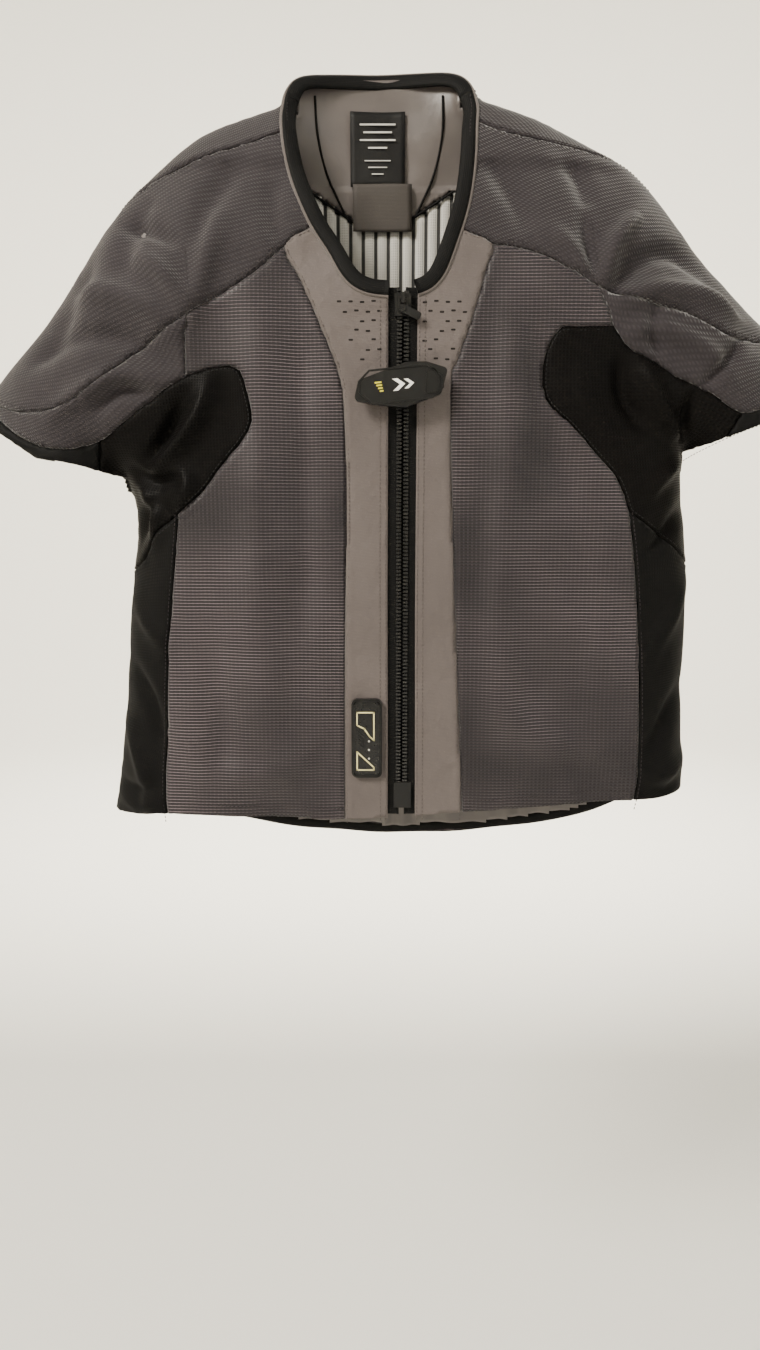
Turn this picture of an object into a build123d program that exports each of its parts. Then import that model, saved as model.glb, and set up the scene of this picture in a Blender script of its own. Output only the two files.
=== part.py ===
from build123d import *

import os
from math import cos, hypot, radians, sin, sqrt

# Short-sleeved airbag vest with a built-in back protector, as it hangs.
# +X is the right of someone looking at its front, the front faces -Y, +Z is up.
# The origin is the middle of the neck, level with the tops of the shoulders.

os.makedirs("parts", exist_ok=True)

# ---------------------------------------------------------------- garment size
front_length = 578.0          # shoulder level down to the front hem
side_length = 584.0           # shoulder level down to the hem at the sides
back_length = 632.0           # shoulder level down to the middle of the back hem
chest_half = 236.0            # half the width under the arms
waist_half = 246.0
hem_half = 256.0
upper_chest_half = 214.0      # half the width between the armholes
chest_level = -300.0
waist_level = -470.0
front_depth = 60.0            # front face ahead of the origin
back_depth = 64.0             # back face behind the origin
neck_half = 78.0
neck_drop = 160.0             # shoulder level down to the front neckline
neck_back = 28.0              # rear edge of the neck opening behind the origin
collar_height = 28.0          # collar above the shoulders at the back

# Sleeve tube rings: (top x, top z, bottom x, bottom z, half depth), neck to cuff.
sleeve_rings = (
    (0.0, 6.0, 0.0, -118.0, 44.0),
    (90.0, -3.0, 92.0, -160.0, 48.0),
    (152.0, -27.0, 160.0, -240.0, 53.0),
    (205.0, -65.0, 200.0, -276.0, 56.0),
    (252.0, -116.0, 222.0, -290.0, 56.0),
    (352.0, -236.0, 244.0, -292.0, 47.0),
)
sleeve_overrun = 24.0         # tube drawn past the cuff, then trimmed square

# ---------------------------------------------------------------- fabric layers
cloth = 2.0                   # outer textile with its backing
layer_gap = 0.5
bladder = 4.0                 # folded airbag, two films and two covers
lining_cloth = 2.0
seam_gap = 0.4                # between neighbouring panels
protector_stack = 24.0        # shell, foam and gaps inside the back
binding_height = 10.0
cuff_height = 9.0
collar_width = 9.0
collar_cloth = 2.5

# Seams of the right-hand half, as (x, z) from the front; the left half mirrors them.
neck_seam = ((neck_half, 60.0), (neck_half, 0.0), (76.0, -42.0), (71.0, -80.0), (58.0, -115.0),
             (44.0, -143.0), (30.0, -157.0), (0.0, -neck_drop))
saddle_seam = ((60.0, -28.0), (110.0, -38.0), (160.0, -52.0), (212.0, -78.0))
yoke_seam = ((84.0, -123.0), (110.0, -138.0), (150.0, -164.0), (163.0, -172.0))
yoke_sleeve_seam = ((163.0, -172.0), (175.0, -180.0), (205.0, -197.0), (240.0, -215.0),
                    (286.0, -224.0), (400.0, -220.0))
armhole_seam = ((163.0, -172.0), (168.0, -195.0), (168.0, -209.0))
underarm_seam = ((168.0, -209.0), (126.0, -208.0), (115.0, -236.0), (117.0, -258.0),
                 (150.0, -291.0), (181.0, -329.0))
underarm_side_seam = ((181.0, -329.0), (200.0, -348.0), (232.0, -378.0), (300.0, -378.0))
underarm_sleeve_seam = ((168.0, -209.0), (190.0, -236.0), (215.0, -256.0), (247.0, -279.0),
                        (262.0, -330.0))
side_seam = ((181.0, -329.0), (190.0, -370.0), (196.0, -440.0), (199.0, -510.0), (200.0, -700.0))
placket_seam = ((46.0, -700.0), (46.0, -240.0), (52.0, -205.0), (62.0, -175.0), (75.0, -142.0),
                (84.0, -123.0), (60.0, -108.0))
back_yoke_level = -178.0
back_armhole = 160.0           # lies on a corner of the saddle seam

# ---------------------------------------------------------------- front opening
placket_inner = 11.5          # half the gap that shows the zip
tape_cloth = 1.0
tape_outer = 14.0
chain_half = 3.8              # half the width of the closed chain
chain_split = 0.8             # half the slit that the slider's post runs in
chain_thick = 5.0
tooth_pitch = 3.6
tooth_height = 2.0
tooth_root = 1.6              # width of the bead that carries the teeth
zip_top = -162.0
stop_height = 3.0
slider_length = 17.0
slider_half = 6.5
slider_plate = 2.0
slider_play = 0.5
post_half = 0.45
flange_inner = 4.5            # slider flanges start outside the chain
flange_depth = 1.6
bridge_width = 3.0
bridge_height = 4.2
bridge_length = 8.0
bridge_bar = 1.3
link_bar = 1.5
link_half = 3.6
link_reach = 5.2              # inner end of the link's eye, past the bridge's corner
tab_length = 15.0
tab_width = 6.0
tab_thick = 1.8
tab_angle = -25.0
rivet = 2.0
rivet_head = 4.0
box_width = 16.0
box_length = 22.0
box_thick = 7.0
pin_width = 2.6

# ---------------------------------------------------------------- closure flap
flap_centre = (-1.5, -233.0)
flap_points = ((-37.0, -12.6), (-33.4, 2.6), (3.6, 16.4), (18.8, 17.0), (36.4, 11.8),
               (31.2, -7.4), (3.6, -17.6), (-17.8, -16.0))
flap_thick = 5.5
flap_standoff = 3.0           # clear air between the slider and the flap
flap_play = 0.4
flap_corner = 3.5
foot_width = 9.0
foot_height = 13.0
foot_inset = 4.0              # feet stand in from the flap's two ends
magnet_diameter = 8.0
magnet_thick = 2.5

# ---------------------------------------------------------------- status display
display_width = 25.5
display_height = 67.0
display_gap = 2.25            # zip tape's outer edge to the display
display_level = -517.5
display_proud = 4.0           # ahead of the placket
display_deep = 5.8            # behind the placket's face
display_wall = 1.6
display_corner = 5.0
display_flange = 1.5
lens_thick = 1.2
board_thick = 1.6
led_diameter = 2.6
led_height = 1.2
led_pitch = 7.4
led_count = 3
led_offset = (1.8, -2.2)      # first light from the display's centre

# ---------------------------------------------------------------- charging port
port_centre = (-34.0, -440.0)
port_width = 15.0
port_height = 9.0
port_depth = 7.0
port_wall = 1.5
cap_thick = 2.0
cap_lug = 3.0

# ---------------------------------------------------------------- back protector
protector_half = 190.0        # half width of the curve that the hard parts follow
shell_width = 184.0
shell_height = 318.0
shell_top = -165.0
shell_taper = 24.0
shell_thick = 3.0
foam_thick = 17.5
vent_width = 34.0
vent_height = 7.0
vent_pitch = 27.0
vent_rows = 11
bay_width = 132.0             # opening in the foam for the electronics
bay_height = 132.0
bay_centre = -330.0
control_width = 84.0
control_height = 58.0
control_thick = 15.0
electronics_face = 50.5       # outer face of the electronics behind the origin
control_wall = 2.0
lid_thick = 2.0
inflator_diameter = 16.0
inflator_length = control_width + 6.0
manifold_width = 12.0
spigot_diameter = 7.0
battery_width = 50.0
battery_height = 30.0
battery_thick = 7.0
screw_diameter = 3.0
screw_head = 5.5
ribbon_height = 8.0
ribbon_thick = 1.2
ribbon_level = -548.0
label_width = 40.0
label_height = 36.0
patch_width = 46.0

fit = 0.3                     # general clearance between rigid pieces
reach = 150.0                 # depth that every cutting outline goes through

# ---------------------------------------------------------------- derived places
face = -front_depth
display_x = -(tape_outer + display_gap + display_width / 2)
display_centre = (display_x, display_level)
tape_front = face + cloth + layer_gap
tape_back = tape_front + tape_cloth
chain_middle = (tape_front + tape_back) / 2
chain_front = chain_middle - chain_thick / 2
chain_back = chain_middle + chain_thick / 2
plate_front = chain_front - slider_play - slider_plate
plate_back = chain_back + slider_play + slider_plate
flap_back = plate_front - bridge_height - flap_standoff
chain_bottom = -front_length + box_length
slider_top = zip_top - 1.0
pivot_level = slider_top - bridge_length / 2
pivot_depth = plate_front - (bridge_height - bridge_bar) / 2
rivet_level = pivot_level - link_reach - tab_width / 2
lining_front = cloth + bladder + 2 * layer_gap
lining_back = lining_front + protector_stack
tube_middle = (back_depth - front_depth) / 2
tube_depth = (back_depth + front_depth) / 2
bladder_face = back_depth - cloth - layer_gap
shell_face = bladder_face - bladder - layer_gap
foam_face = shell_face - shell_thick - layer_gap
foam_inner = foam_face - foam_thick


def save(piece, name):
    """Label a finished piece and write it as its own STEP file."""
    piece.part.label = name
    export_step(piece.part, f"parts/{name}.step")


def save_pair(piece, name):
    """Write a right-hand piece and its mirror image."""
    save(piece, f"{name}_right")
    with BuildPart() as other:
        mirror(piece.part, about=Plane.YZ)
    save(other, f"{name}_left")


def mirrored(points):
    """The same points on the other side of the middle, in reverse order."""
    return tuple((-x, z) for x, z in reversed(points))


def half_width_at(level):
    """Half width of the body tube between waist and side hem."""
    share = (waist_level - level) / (side_length + waist_level)
    return waist_half + (hem_half - waist_half) * share


def hem_points(middle, sides):
    """Hem curve from side to side, a parabola through three levels."""
    steps = 6
    wide = hem_half + 30.0
    points = []
    for step in range(-steps, steps + 1):
        x = wide * step / steps
        drop = middle - (middle - sides) * min(1.0, abs(x) / hem_half) ** 2
        points.append((x, -drop))
    return tuple(points)


# ================================================================ garment volumes
def torso(side, front, back):
    """Body tube, drawn in from the outer face by the three given insets."""
    depth = (front_depth - front + back_depth - back) / 2
    middle = (back_depth - back - front_depth + front) / 2
    stations = (
        (-back_length - 40.0, hem_half, depth),
        (-side_length, hem_half, depth),
        (waist_level, waist_half, depth),
        (chest_level, chest_half, depth),
        ((chest_level - neck_drop) / 2, upper_chest_half, depth),
        (-neck_drop, upper_chest_half - 22.0, depth),
        (-neck_drop / 2, upper_chest_half - 66.0, 0.8 * depth),
        (-neck_drop / 5, neck_half, 0.35 * depth),
    )
    with BuildPart() as tube:
        for level, half, deep in stations:
            with BuildSketch(Plane.XY.offset(level)):
                with Locations((0, middle)):
                    Ellipse(half - side, deep)
        loft(ruled=True)
    return tube.part


def ring_plane(ring, overrun=0.0):
    """Plane of one sleeve ring, its x axis along the ring from bottom to top."""
    top_x, top_z, low_x, low_z, _ = ring
    along = Vector(top_x - low_x, 0, top_z - low_z).normalized()
    normal = Vector(along.Z, 0, -along.X)
    centre = Vector((top_x + low_x) / 2, 0, (top_z + low_z) / 2)
    return Plane(centre + normal * overrun, x_dir=along, z_dir=normal)


def sleeves(inset):
    """Shoulder and sleeve tubes of both sides, joined at the middle."""
    cuff = sleeve_rings[-1]
    rows = [(ring_plane(ring), ring) for ring in sleeve_rings]
    rows.append((ring_plane(cuff, sleeve_overrun), cuff))
    with BuildPart() as tube:
        for plane, (top_x, top_z, low_x, low_z, deep) in rows:
            half = hypot(top_x - low_x, top_z - low_z) / 2
            with BuildSketch(plane):
                Ellipse(half - inset, deep - inset)
        loft(ruled=True)
        mirror(about=Plane.YZ)
    return tube.part


def garment(side, front, back):
    """Closed garment volume at the given insets."""
    with BuildPart() as volume:
        add(torso(side, front, back))
        add(sleeves(side))
    return volume.part


def prism(points, ahead, behind, shrink=seam_gap / 2):
    """Outline in the front view, cut through from one depth to another."""
    with BuildPart() as block:
        with BuildSketch(Plane.XZ.offset(-behind)):
            Polygon(*points, align=None)
            if shrink:
                offset(amount=-shrink, kind=Kind.INTERSECTION)
        extrude(amount=ahead + behind)
    return block.part


def sleeve_end(start):
    """Block that takes in the right sleeve from a distance before its cuff."""
    top_x, top_z, low_x, low_z, _ = sleeve_rings[-1]
    length = hypot(top_x - low_x, top_z - low_z)
    with BuildPart() as block:
        with BuildSketch(ring_plane(sleeve_rings[-1], -start)):
            Rectangle(length + 3 * cloth, reach)
        extrude(amount=start + 2 * sleeve_overrun)
    return block.part


def layer(outer, inner):
    """Cloth between two garment volumes, with neck, hems and cuffs trimmed."""
    neck = neck_seam + mirrored(neck_seam[:-1])
    front_hem = hem_points(front_length, side_length) + ((400.0, -900.0), (-400.0, -900.0))
    back_hem = hem_points(back_length, side_length) + ((400.0, -900.0), (-400.0, -900.0))
    with BuildPart() as sheet:
        add(outer)
        add(inner, mode=Mode.SUBTRACT)
        add(prism(neck, reach, 0.0, 0.0), mode=Mode.SUBTRACT)
        add(prism(front_hem, reach, 0.0, 0.0), mode=Mode.SUBTRACT)
        add(prism(back_hem, 0.0, reach, 0.0), mode=Mode.SUBTRACT)
        with BuildSketch(Plane.XY.offset(-neck_half)):
            Ellipse(neck_half + collar_cloth + fit, neck_back + collar_cloth + fit)
            with Locations((0, -reach / 2)):
                Rectangle(3 * reach, reach, mode=Mode.SUBTRACT)
        extrude(amount=2 * neck_half, mode=Mode.SUBTRACT)
        add(sleeve_end(0.0), mode=Mode.SUBTRACT)
        add(mirror(sleeve_end(0.0), about=Plane.YZ, mode=Mode.PRIVATE), mode=Mode.SUBTRACT)
    return sheet.part


outer_layer = layer(garment(0.0, 0.0, 0.0), garment(cloth, cloth, cloth))

lining_inner = lining_front + lining_cloth
front_lining_layer = layer(
    garment(lining_front, lining_front, lining_front),
    garment(lining_inner, lining_inner, lining_inner),
)
back_lining_layer = layer(
    garment(lining_front, lining_front, lining_back),
    garment(lining_inner, lining_inner, lining_back + lining_cloth),
)


def panel(cloth_layer, points, ahead=reach, behind=reach):
    """Part of a cloth layer inside an outline, clear of the panels beside it."""
    with BuildPart() as piece:
        add(cloth_layer)
        add(prism(points, ahead, behind), mode=Mode.INTERSECT)
    return piece.part


def box_between(low, high):
    """Plain block between two corners."""
    size = [high[axis] - low[axis] for axis in range(3)]
    middle = [(high[axis] + low[axis]) / 2 for axis in range(3)]
    with BuildPart() as block:
        with Locations(tuple(middle)):
            Box(*size)
    return block.part


# ================================================================ outer panels
neck_edge = ((neck_half + collar_width, 60.0),) + tuple(
    (x + collar_width, z) for x, z in neck_seam[1:4]
) + ((64.0, -122.0), (49.0, -151.0), (33.0, -166.0), (0.0, -neck_drop - collar_width))
collar_outline = neck_edge + mirrored(neck_edge[:-1])

with BuildPart() as collar_front:
    add(panel(outer_layer, collar_outline, reach, -2.0 * seam_gap))
    add(box_between((-placket_inner, -reach, -front_length), (placket_inner, 0, -neck_drop / 2)),
        mode=Mode.SUBTRACT)

with BuildPart() as body_cloth:
    add(outer_layer)
    add(prism(collar_outline, reach, 0.0, 0.0), mode=Mode.SUBTRACT)
shell_cloth = body_cloth.part

saddle_outline = saddle_seam + ((280.0, -40.0), (280.0, 60.0), (60.0, 60.0))
shoulder_outline = (yoke_seam + yoke_sleeve_seam[1:] + ((400.0, -60.0), (280.0, -60.0))
                    + tuple(reversed(saddle_seam)) + ((40.0, -28.0), (40.0, -108.0), (60.0, -108.0)))
sleeve_outline = (yoke_sleeve_seam + tuple(reversed(underarm_sleeve_seam)) + armhole_seam[1:2])
underarm_outline = (underarm_seam + underarm_side_seam[1:] + tuple(reversed(underarm_sleeve_seam[1:])))
side_outline = (underarm_side_seam + ((300.0, -700.0),) + tuple(reversed(side_seam)))
front_outline = (placket_seam[:-1] + yoke_seam[1:] + armhole_seam[1:] + underarm_seam[1:]
                 + side_seam[1:])
placket_outline = ((placket_inner, -700.0),) + placket_seam + ((placket_inner, -108.0),)
hem_band = hem_points(back_length - binding_height, side_length - binding_height)
hem_outline = hem_band + ((400.0, -900.0), (-400.0, -900.0))
sleeve_back_outline = (saddle_seam[2:] + ((280.0, -60.0), (420.0, -60.0), (420.0, -330.0))
                       + tuple(reversed(underarm_sleeve_seam)) + ((back_armhole, -209.0),))
back_yoke_outline = (mirrored(saddle_seam[:3]) + ((-60.0, 60.0), (60.0, 60.0)) + saddle_seam[:3]
                     + ((back_armhole, back_yoke_level), (-back_armhole, back_yoke_level)))
back_half = (((0.0, back_yoke_level), (back_armhole, back_yoke_level), (back_armhole, -209.0))
             + underarm_seam[1:] + side_seam[1:])
back_outline = back_half + mirrored(back_half[1:])

def cuffless(piece):
    """Panel cut back to where the cuff band starts."""
    with BuildPart() as trimmed:
        add(piece)
        add(sleeve_end(cuff_height + seam_gap), mode=Mode.SUBTRACT)
    return trimmed.part


with BuildPart() as saddle:
    add(panel(shell_cloth, saddle_outline))
with BuildPart() as shoulder_panel:
    add(cuffless(panel(shell_cloth, shoulder_outline, reach, 0.0)))
with BuildPart() as sleeve_panel:
    add(cuffless(panel(shell_cloth, sleeve_outline, reach, 0.0)))
with BuildPart() as underarm_panel:
    add(cuffless(panel(shell_cloth, underarm_outline)))
with BuildPart() as side_panel:
    add(panel(shell_cloth, side_outline))
    add(prism(hem_outline, reach, reach, 0.0), mode=Mode.SUBTRACT)
with BuildPart() as front_panel:
    add(panel(shell_cloth, front_outline, reach, 0.0))
with BuildPart() as placket:
    add(panel(shell_cloth, placket_outline, reach, 0.0))
with BuildPart() as sleeve_back:
    add(cuffless(panel(shell_cloth, sleeve_back_outline, 0.0, reach)))
with BuildPart() as cuff_band:
    add(shell_cloth)
    add(sleeve_end(cuff_height), mode=Mode.INTERSECT)
with BuildPart() as back_yoke:
    add(panel(shell_cloth, back_yoke_outline, 0.0, reach))
with BuildPart() as back_panel:
    add(panel(shell_cloth, back_outline, 0.0, reach))
    add(prism(hem_outline, 0.0, reach, -seam_gap), mode=Mode.SUBTRACT)
with BuildPart() as hem_binding:
    add(shell_cloth)
    add(prism(hem_outline, reach, reach, seam_gap / 2), mode=Mode.INTERSECT)
    add(box_between((-199.0 - seam_gap, -reach, -700.0), (199.0 + seam_gap, 0.0, -500.0)),
        mode=Mode.SUBTRACT)
with BuildPart() as collar_back:
    with BuildSketch(Plane.XY.offset(-0.5 * collar_height)):
        Ellipse(neck_half + collar_cloth, neck_back + collar_cloth)
        Ellipse(neck_half, neck_back, mode=Mode.SUBTRACT)
        with Locations((0, -reach / 2 + fit)):
            Rectangle(3 * reach, reach, mode=Mode.SUBTRACT)
    extrude(amount=1.5 * collar_height)
    with BuildSketch(Plane.YZ):
        Polygon((0, 0), (neck_back, collar_height), (neck_back, 2 * reach), (-neck_back, 2 * reach),
                (-neck_back, 0), align=None)
    extrude(amount=2 * neck_half, both=True, mode=Mode.SUBTRACT)

# ================================================================ linings
front_lining_outline = ((placket_inner + layer_gap, -700.0), (400.0, -700.0), (400.0, 60.0),
                        (placket_inner + layer_gap, 60.0))
port_x, port_z = port_centre
port_window = box_between(
    (port_x - port_width / 2 - fit, -reach, port_z - port_height / 2 - fit),
    (port_x + port_width / 2 + fit, 0.0, port_z + port_height / 2 + fit),
)
lining_yoke_outline = ((-400.0, back_yoke_level), (-400.0, 60.0), (400.0, 60.0),
                       (400.0, back_yoke_level))
back_lining_outline = ((-400.0, -700.0), (-400.0, back_yoke_level), (400.0, back_yoke_level),
                       (400.0, -700.0))

with BuildPart() as front_lining_right:
    add(panel(front_lining_layer, front_lining_outline, reach, 0.0))
with BuildPart() as front_lining_left:
    mirror(front_lining_right.part, about=Plane.YZ)
    add(port_window, mode=Mode.SUBTRACT)
with BuildPart() as lining_yoke:
    add(panel(back_lining_layer, lining_yoke_outline, 0.0, reach))
with BuildPart() as back_lining:
    add(panel(back_lining_layer, back_lining_outline, 0.0, reach))

# ================================================================ airbag
bladder_start = cloth + layer_gap
bladder_end = bladder_start + bladder
with BuildPart() as bladder_volume:
    add(garment(bladder_start, bladder_start, bladder_start))
    add(garment(bladder_end, bladder_end, bladder_end), mode=Mode.SUBTRACT)
airbag_layer = bladder_volume.part
airbag_half = ((56.0, -530.0), (172.0, -530.0), (178.0, -400.0), (160.0, -330.0), (104.0, -270.0),
               (104.0, -190.0), (70.0, -175.0), (56.0, -215.0))
airbag_back_half = ((0.0, -500.0), (140.0, -500.0), (150.0, -430.0), (150.0, -110.0),
                    (215.0, -110.0), (260.0, 40.0), (100.0, 40.0), (100.0, -60.0), (60.0, -70.0),
                    (0.0, -70.0))
airbag_shoulder = ((100.0, -60.0), (100.0, 40.0), (260.0, 40.0), (215.0, -110.0),
                   (150.0, -100.0))

with BuildPart() as airbag_front:
    add(panel(airbag_layer, airbag_half, reach, 0.0))
    mirror(about=Plane.YZ)
with BuildPart() as airbag_back:
    add(panel(airbag_layer, airbag_back_half + mirrored(airbag_back_half[1:-1]), 0.0, reach))
    for outline in (airbag_shoulder, mirrored(airbag_shoulder)):
        add(panel(airbag_layer, outline, reach, seam_gap))

# ================================================================ labels in the neck
label_back = neck_back - collar_cloth + 0.7
label_front = label_back - 0.6
with BuildPart() as care_label:
    add(box_between((-label_width / 2, label_front, -1.0 - label_height),
                    (label_width / 2, label_back, -1.0)))
with BuildPart() as label_patch:
    add(box_between((-patch_width / 2, label_front, -2.0 - 2 * label_height),
                    (patch_width / 2, label_back, -2.0 - label_height)))

# ================================================================ zip
with BuildPart() as zip_tape:
    add(box_between((chain_half, tape_front, -front_length),
                    (tape_outer, tape_back, zip_top + stop_height + 1.0)))

with BuildPart() as zip_chain:
    with BuildSketch(Plane.XZ.offset(-chain_back)):
        with Locations((chain_half - tooth_root / 2, (chain_bottom + zip_top) / 2)):
            Rectangle(tooth_root, zip_top - chain_bottom)
        with Locations(((chain_split + chain_half) / 2, zip_top + stop_height / 2)):
            Rectangle(chain_half - chain_split, stop_height)
        count = int((zip_top - chain_bottom) / tooth_pitch)
        start = zip_top - tooth_pitch / 2
        for tooth in range(count):
            with Locations(((chain_split + chain_half) / 2, start - tooth * tooth_pitch)):
                Rectangle(chain_half - chain_split, tooth_height)
    extrude(amount=chain_thick)

with BuildPart() as zip_box:
    add(box_between((-chain_half - pin_width, chain_middle - box_thick / 2, -front_length),
                    (box_width / 2, chain_middle + box_thick / 2, chain_bottom)))
    add(box_between((-chain_half - pin_width, tape_front - fit, -front_length),
                    (-chain_half, tape_back + fit, chain_bottom)), mode=Mode.SUBTRACT)
    add(box_between((chain_half, tape_front, -front_length),
                    (box_width, tape_back, chain_bottom)), mode=Mode.SUBTRACT)
    add(box_between((-chain_half, chain_middle - pin_width / 2 - fit, -front_length + 2.0),
                    (-chain_half + pin_width + fit, chain_middle + pin_width / 2 + fit,
                     chain_bottom)), mode=Mode.SUBTRACT)

with BuildPart() as zip_pin:
    add(box_between((-chain_half, chain_middle - pin_width / 2, -front_length + 2.0 + fit),
                    (-chain_half + pin_width, chain_middle + pin_width / 2, chain_bottom - fit)))

slider_low = slider_top - slider_length
with BuildPart() as zip_slider:
    for near, far, flange in (
        (plate_front, plate_front + slider_plate, flange_depth),
        (plate_back, plate_back - slider_plate, -flange_depth),
    ):
        add(box_between((-slider_half, min(near, far), slider_low),
                        (slider_half, max(near, far), slider_top)))
        for side in (-1, 1):
            edges = sorted((side * flange_inner, side * slider_half))
            depths = sorted((far, far + flange))
            add(box_between((edges[0], depths[0], slider_low), (edges[1], depths[1], slider_top)))
    add(box_between((-post_half, plate_front + slider_plate, slider_top - 4.0),
                    (post_half, plate_back - slider_plate, slider_top)))
    bridge_low = slider_top - bridge_length
    with BuildSketch(Plane.YZ.offset(-bridge_width / 2)):
        with Locations((plate_front - bridge_height / 2, (slider_top + bridge_low) / 2)):
            Rectangle(bridge_height, bridge_length)
        with Locations((plate_front - (bridge_height - bridge_bar) / 2,
                        (slider_top + bridge_low) / 2)):
            Rectangle(bridge_height - bridge_bar, bridge_length - 2 * bridge_bar,
                      mode=Mode.SUBTRACT)
    extrude(amount=bridge_width)
    chamfer(zip_slider.edges().filter_by(Axis.Z).filter_by_position(
        Axis.Y, plate_front - 0.1, plate_front + 0.1).filter_by_position(
        Axis.X, -slider_half - 0.1, -slider_half + 0.1), length=0.8)
    chamfer(zip_slider.edges().filter_by(Axis.Z).filter_by_position(
        Axis.Y, plate_front - 0.1, plate_front + 0.1).filter_by_position(
        Axis.X, slider_half - 0.1, slider_half + 0.1), length=0.8)

with BuildPart() as pull_link:
    with BuildSketch(Plane.XZ.offset(-pivot_depth - link_bar / 2)):
        with Locations((0, (pivot_level + rivet_level) / 2)):
            Rectangle(2 * link_half, pivot_level - rivet_level)
        with Locations((0, rivet_level)):
            Circle(link_half)
        eye = link_reach - link_bar / 2
        with Locations((0, pivot_level - link_bar / 2 - eye / 2)):
            Rectangle(2 * (bridge_width / 2 + 0.7), eye, mode=Mode.SUBTRACT)
    extrude(amount=link_bar)
    with BuildSketch(Plane.YZ.offset(-link_half)):
        with Locations((pivot_depth, pivot_level)):
            Circle(link_bar / 2)
    extrude(amount=2 * link_half)
    with BuildSketch(Plane.XZ.offset(-pivot_depth + link_bar / 2)):
        with Locations((0, rivet_level)):
            Circle(rivet / 2)
    extrude(amount=tab_thick + 2 * fit)
    with BuildSketch(Plane.XZ.offset(-pivot_depth + link_bar / 2 + tab_thick + 2 * fit)):
        with Locations((0, rivet_level)):
            Circle(rivet_head / 2)
    extrude(amount=0.7)

tab_plane = Plane((0, pivot_depth - link_bar / 2 - fit, rivet_level),
                  x_dir=(cos(radians(tab_angle)), 0, sin(radians(tab_angle))), z_dir=(0, -1, 0))
with BuildPart() as pull_tab:
    with BuildSketch(tab_plane):
        with Locations(((tab_length - tab_width / 2) / 2, 0)):
            RectangleRounded(tab_length + tab_width / 2, tab_width, 0.35 * tab_width)
        Circle(rivet / 2 + fit, mode=Mode.SUBTRACT)
    extrude(amount=tab_thick)

# ================================================================ closure flap
flap_x, flap_z = flap_centre
foot_left = flap_x + flap_points[0][0] + foot_inset
foot_right = flap_x + flap_points[5][0] - foot_inset - foot_width / 2
foot_level = flap_z - 1.0

with BuildPart() as flap_base:
    with BuildSketch(Plane.XZ.offset(-face + 0.05)):
        with Locations((foot_left + foot_width / 2, foot_level - 2.0)):
            RectangleRounded(foot_width, foot_height, 2.0)
    extrude(amount=face - flap_back - flap_play - 0.05)

with BuildPart() as flap_keeper:
    with BuildSketch(Plane.XZ.offset(-face + 0.05)):
        with Locations((foot_right, foot_level)):
            RectangleRounded(foot_width, foot_height, 2.0)
    extrude(amount=face - flap_back - flap_play - 0.05)

with BuildPart() as closure_flap:
    with BuildSketch(Plane.XZ.offset(-flap_back)) as outline:
        with Locations((flap_x, flap_z)):
            Polygon(*flap_points, align=None)
        fillet(outline.vertices(), radius=flap_corner)
    extrude(amount=flap_thick)
    with BuildSketch(Plane.XZ.offset(-flap_back)):
        with Locations((foot_right, foot_level)):
            Circle(magnet_diameter / 2)
    extrude(amount=magnet_thick, mode=Mode.SUBTRACT)

with BuildPart() as flap_magnet:
    with BuildSketch(Plane.XZ.offset(-flap_back)):
        with Locations((foot_right, foot_level)):
            Circle(magnet_diameter / 2)
    extrude(amount=magnet_thick)

# ================================================================ status display
display_front = face - display_proud
display_back = face + display_deep
window_width = display_width + 2 * fit
window_height = display_height + 2 * fit

with BuildPart() as placket_left:
    mirror(placket.part, about=Plane.YZ)
    with BuildSketch(Plane.XZ.offset(reach)):
        with Locations(display_centre):
            RectangleRounded(window_width, window_height, display_corner + fit)
    extrude(amount=-reach, mode=Mode.SUBTRACT)

with BuildPart() as display_housing:
    with BuildSketch(Plane.XZ.offset(-display_back)):
        with Locations(display_centre):
            RectangleRounded(display_width, display_height, display_corner)
    extrude(amount=display_back - display_front)
    with BuildSketch(Plane.XZ.offset(-display_back)):
        with Locations(display_centre):
            RectangleRounded(display_width + 2 * display_flange,
                             display_height + 2 * display_flange,
                             display_corner + display_flange)
    extrude(amount=display_deep - cloth - 3 * layer_gap)
    with BuildSketch(Plane.XZ.offset(-display_back + display_wall)):
        with Locations(display_centre):
            RectangleRounded(display_width - 2 * display_wall, display_height - 2 * display_wall,
                             display_corner - display_wall)
    extrude(amount=display_back - display_front, mode=Mode.SUBTRACT)

lens_back = display_front + lens_thick
with BuildPart() as display_lens:
    with BuildSketch(Plane.XZ.offset(-lens_back)):
        with Locations(display_centre):
            RectangleRounded(display_width - 2 * display_wall, display_height - 2 * display_wall,
                             display_corner - display_wall)
    extrude(amount=lens_thick)

board_front = lens_back + led_height + fit
with BuildPart() as display_board:
    with BuildSketch(Plane.XZ.offset(-board_front - board_thick)):
        with Locations(display_centre):
            Rectangle(display_width - 4 * display_wall, display_height - 4 * display_wall)
    extrude(amount=board_thick)

with BuildPart() as display_lights:
    with BuildSketch(Plane.XZ.offset(-board_front)):
        for light in range(led_count):
            with Locations((display_x + led_offset[0],
                            display_level + led_offset[1] - light * led_pitch)):
                Circle(led_diameter / 2)
    extrude(amount=led_height)

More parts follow.
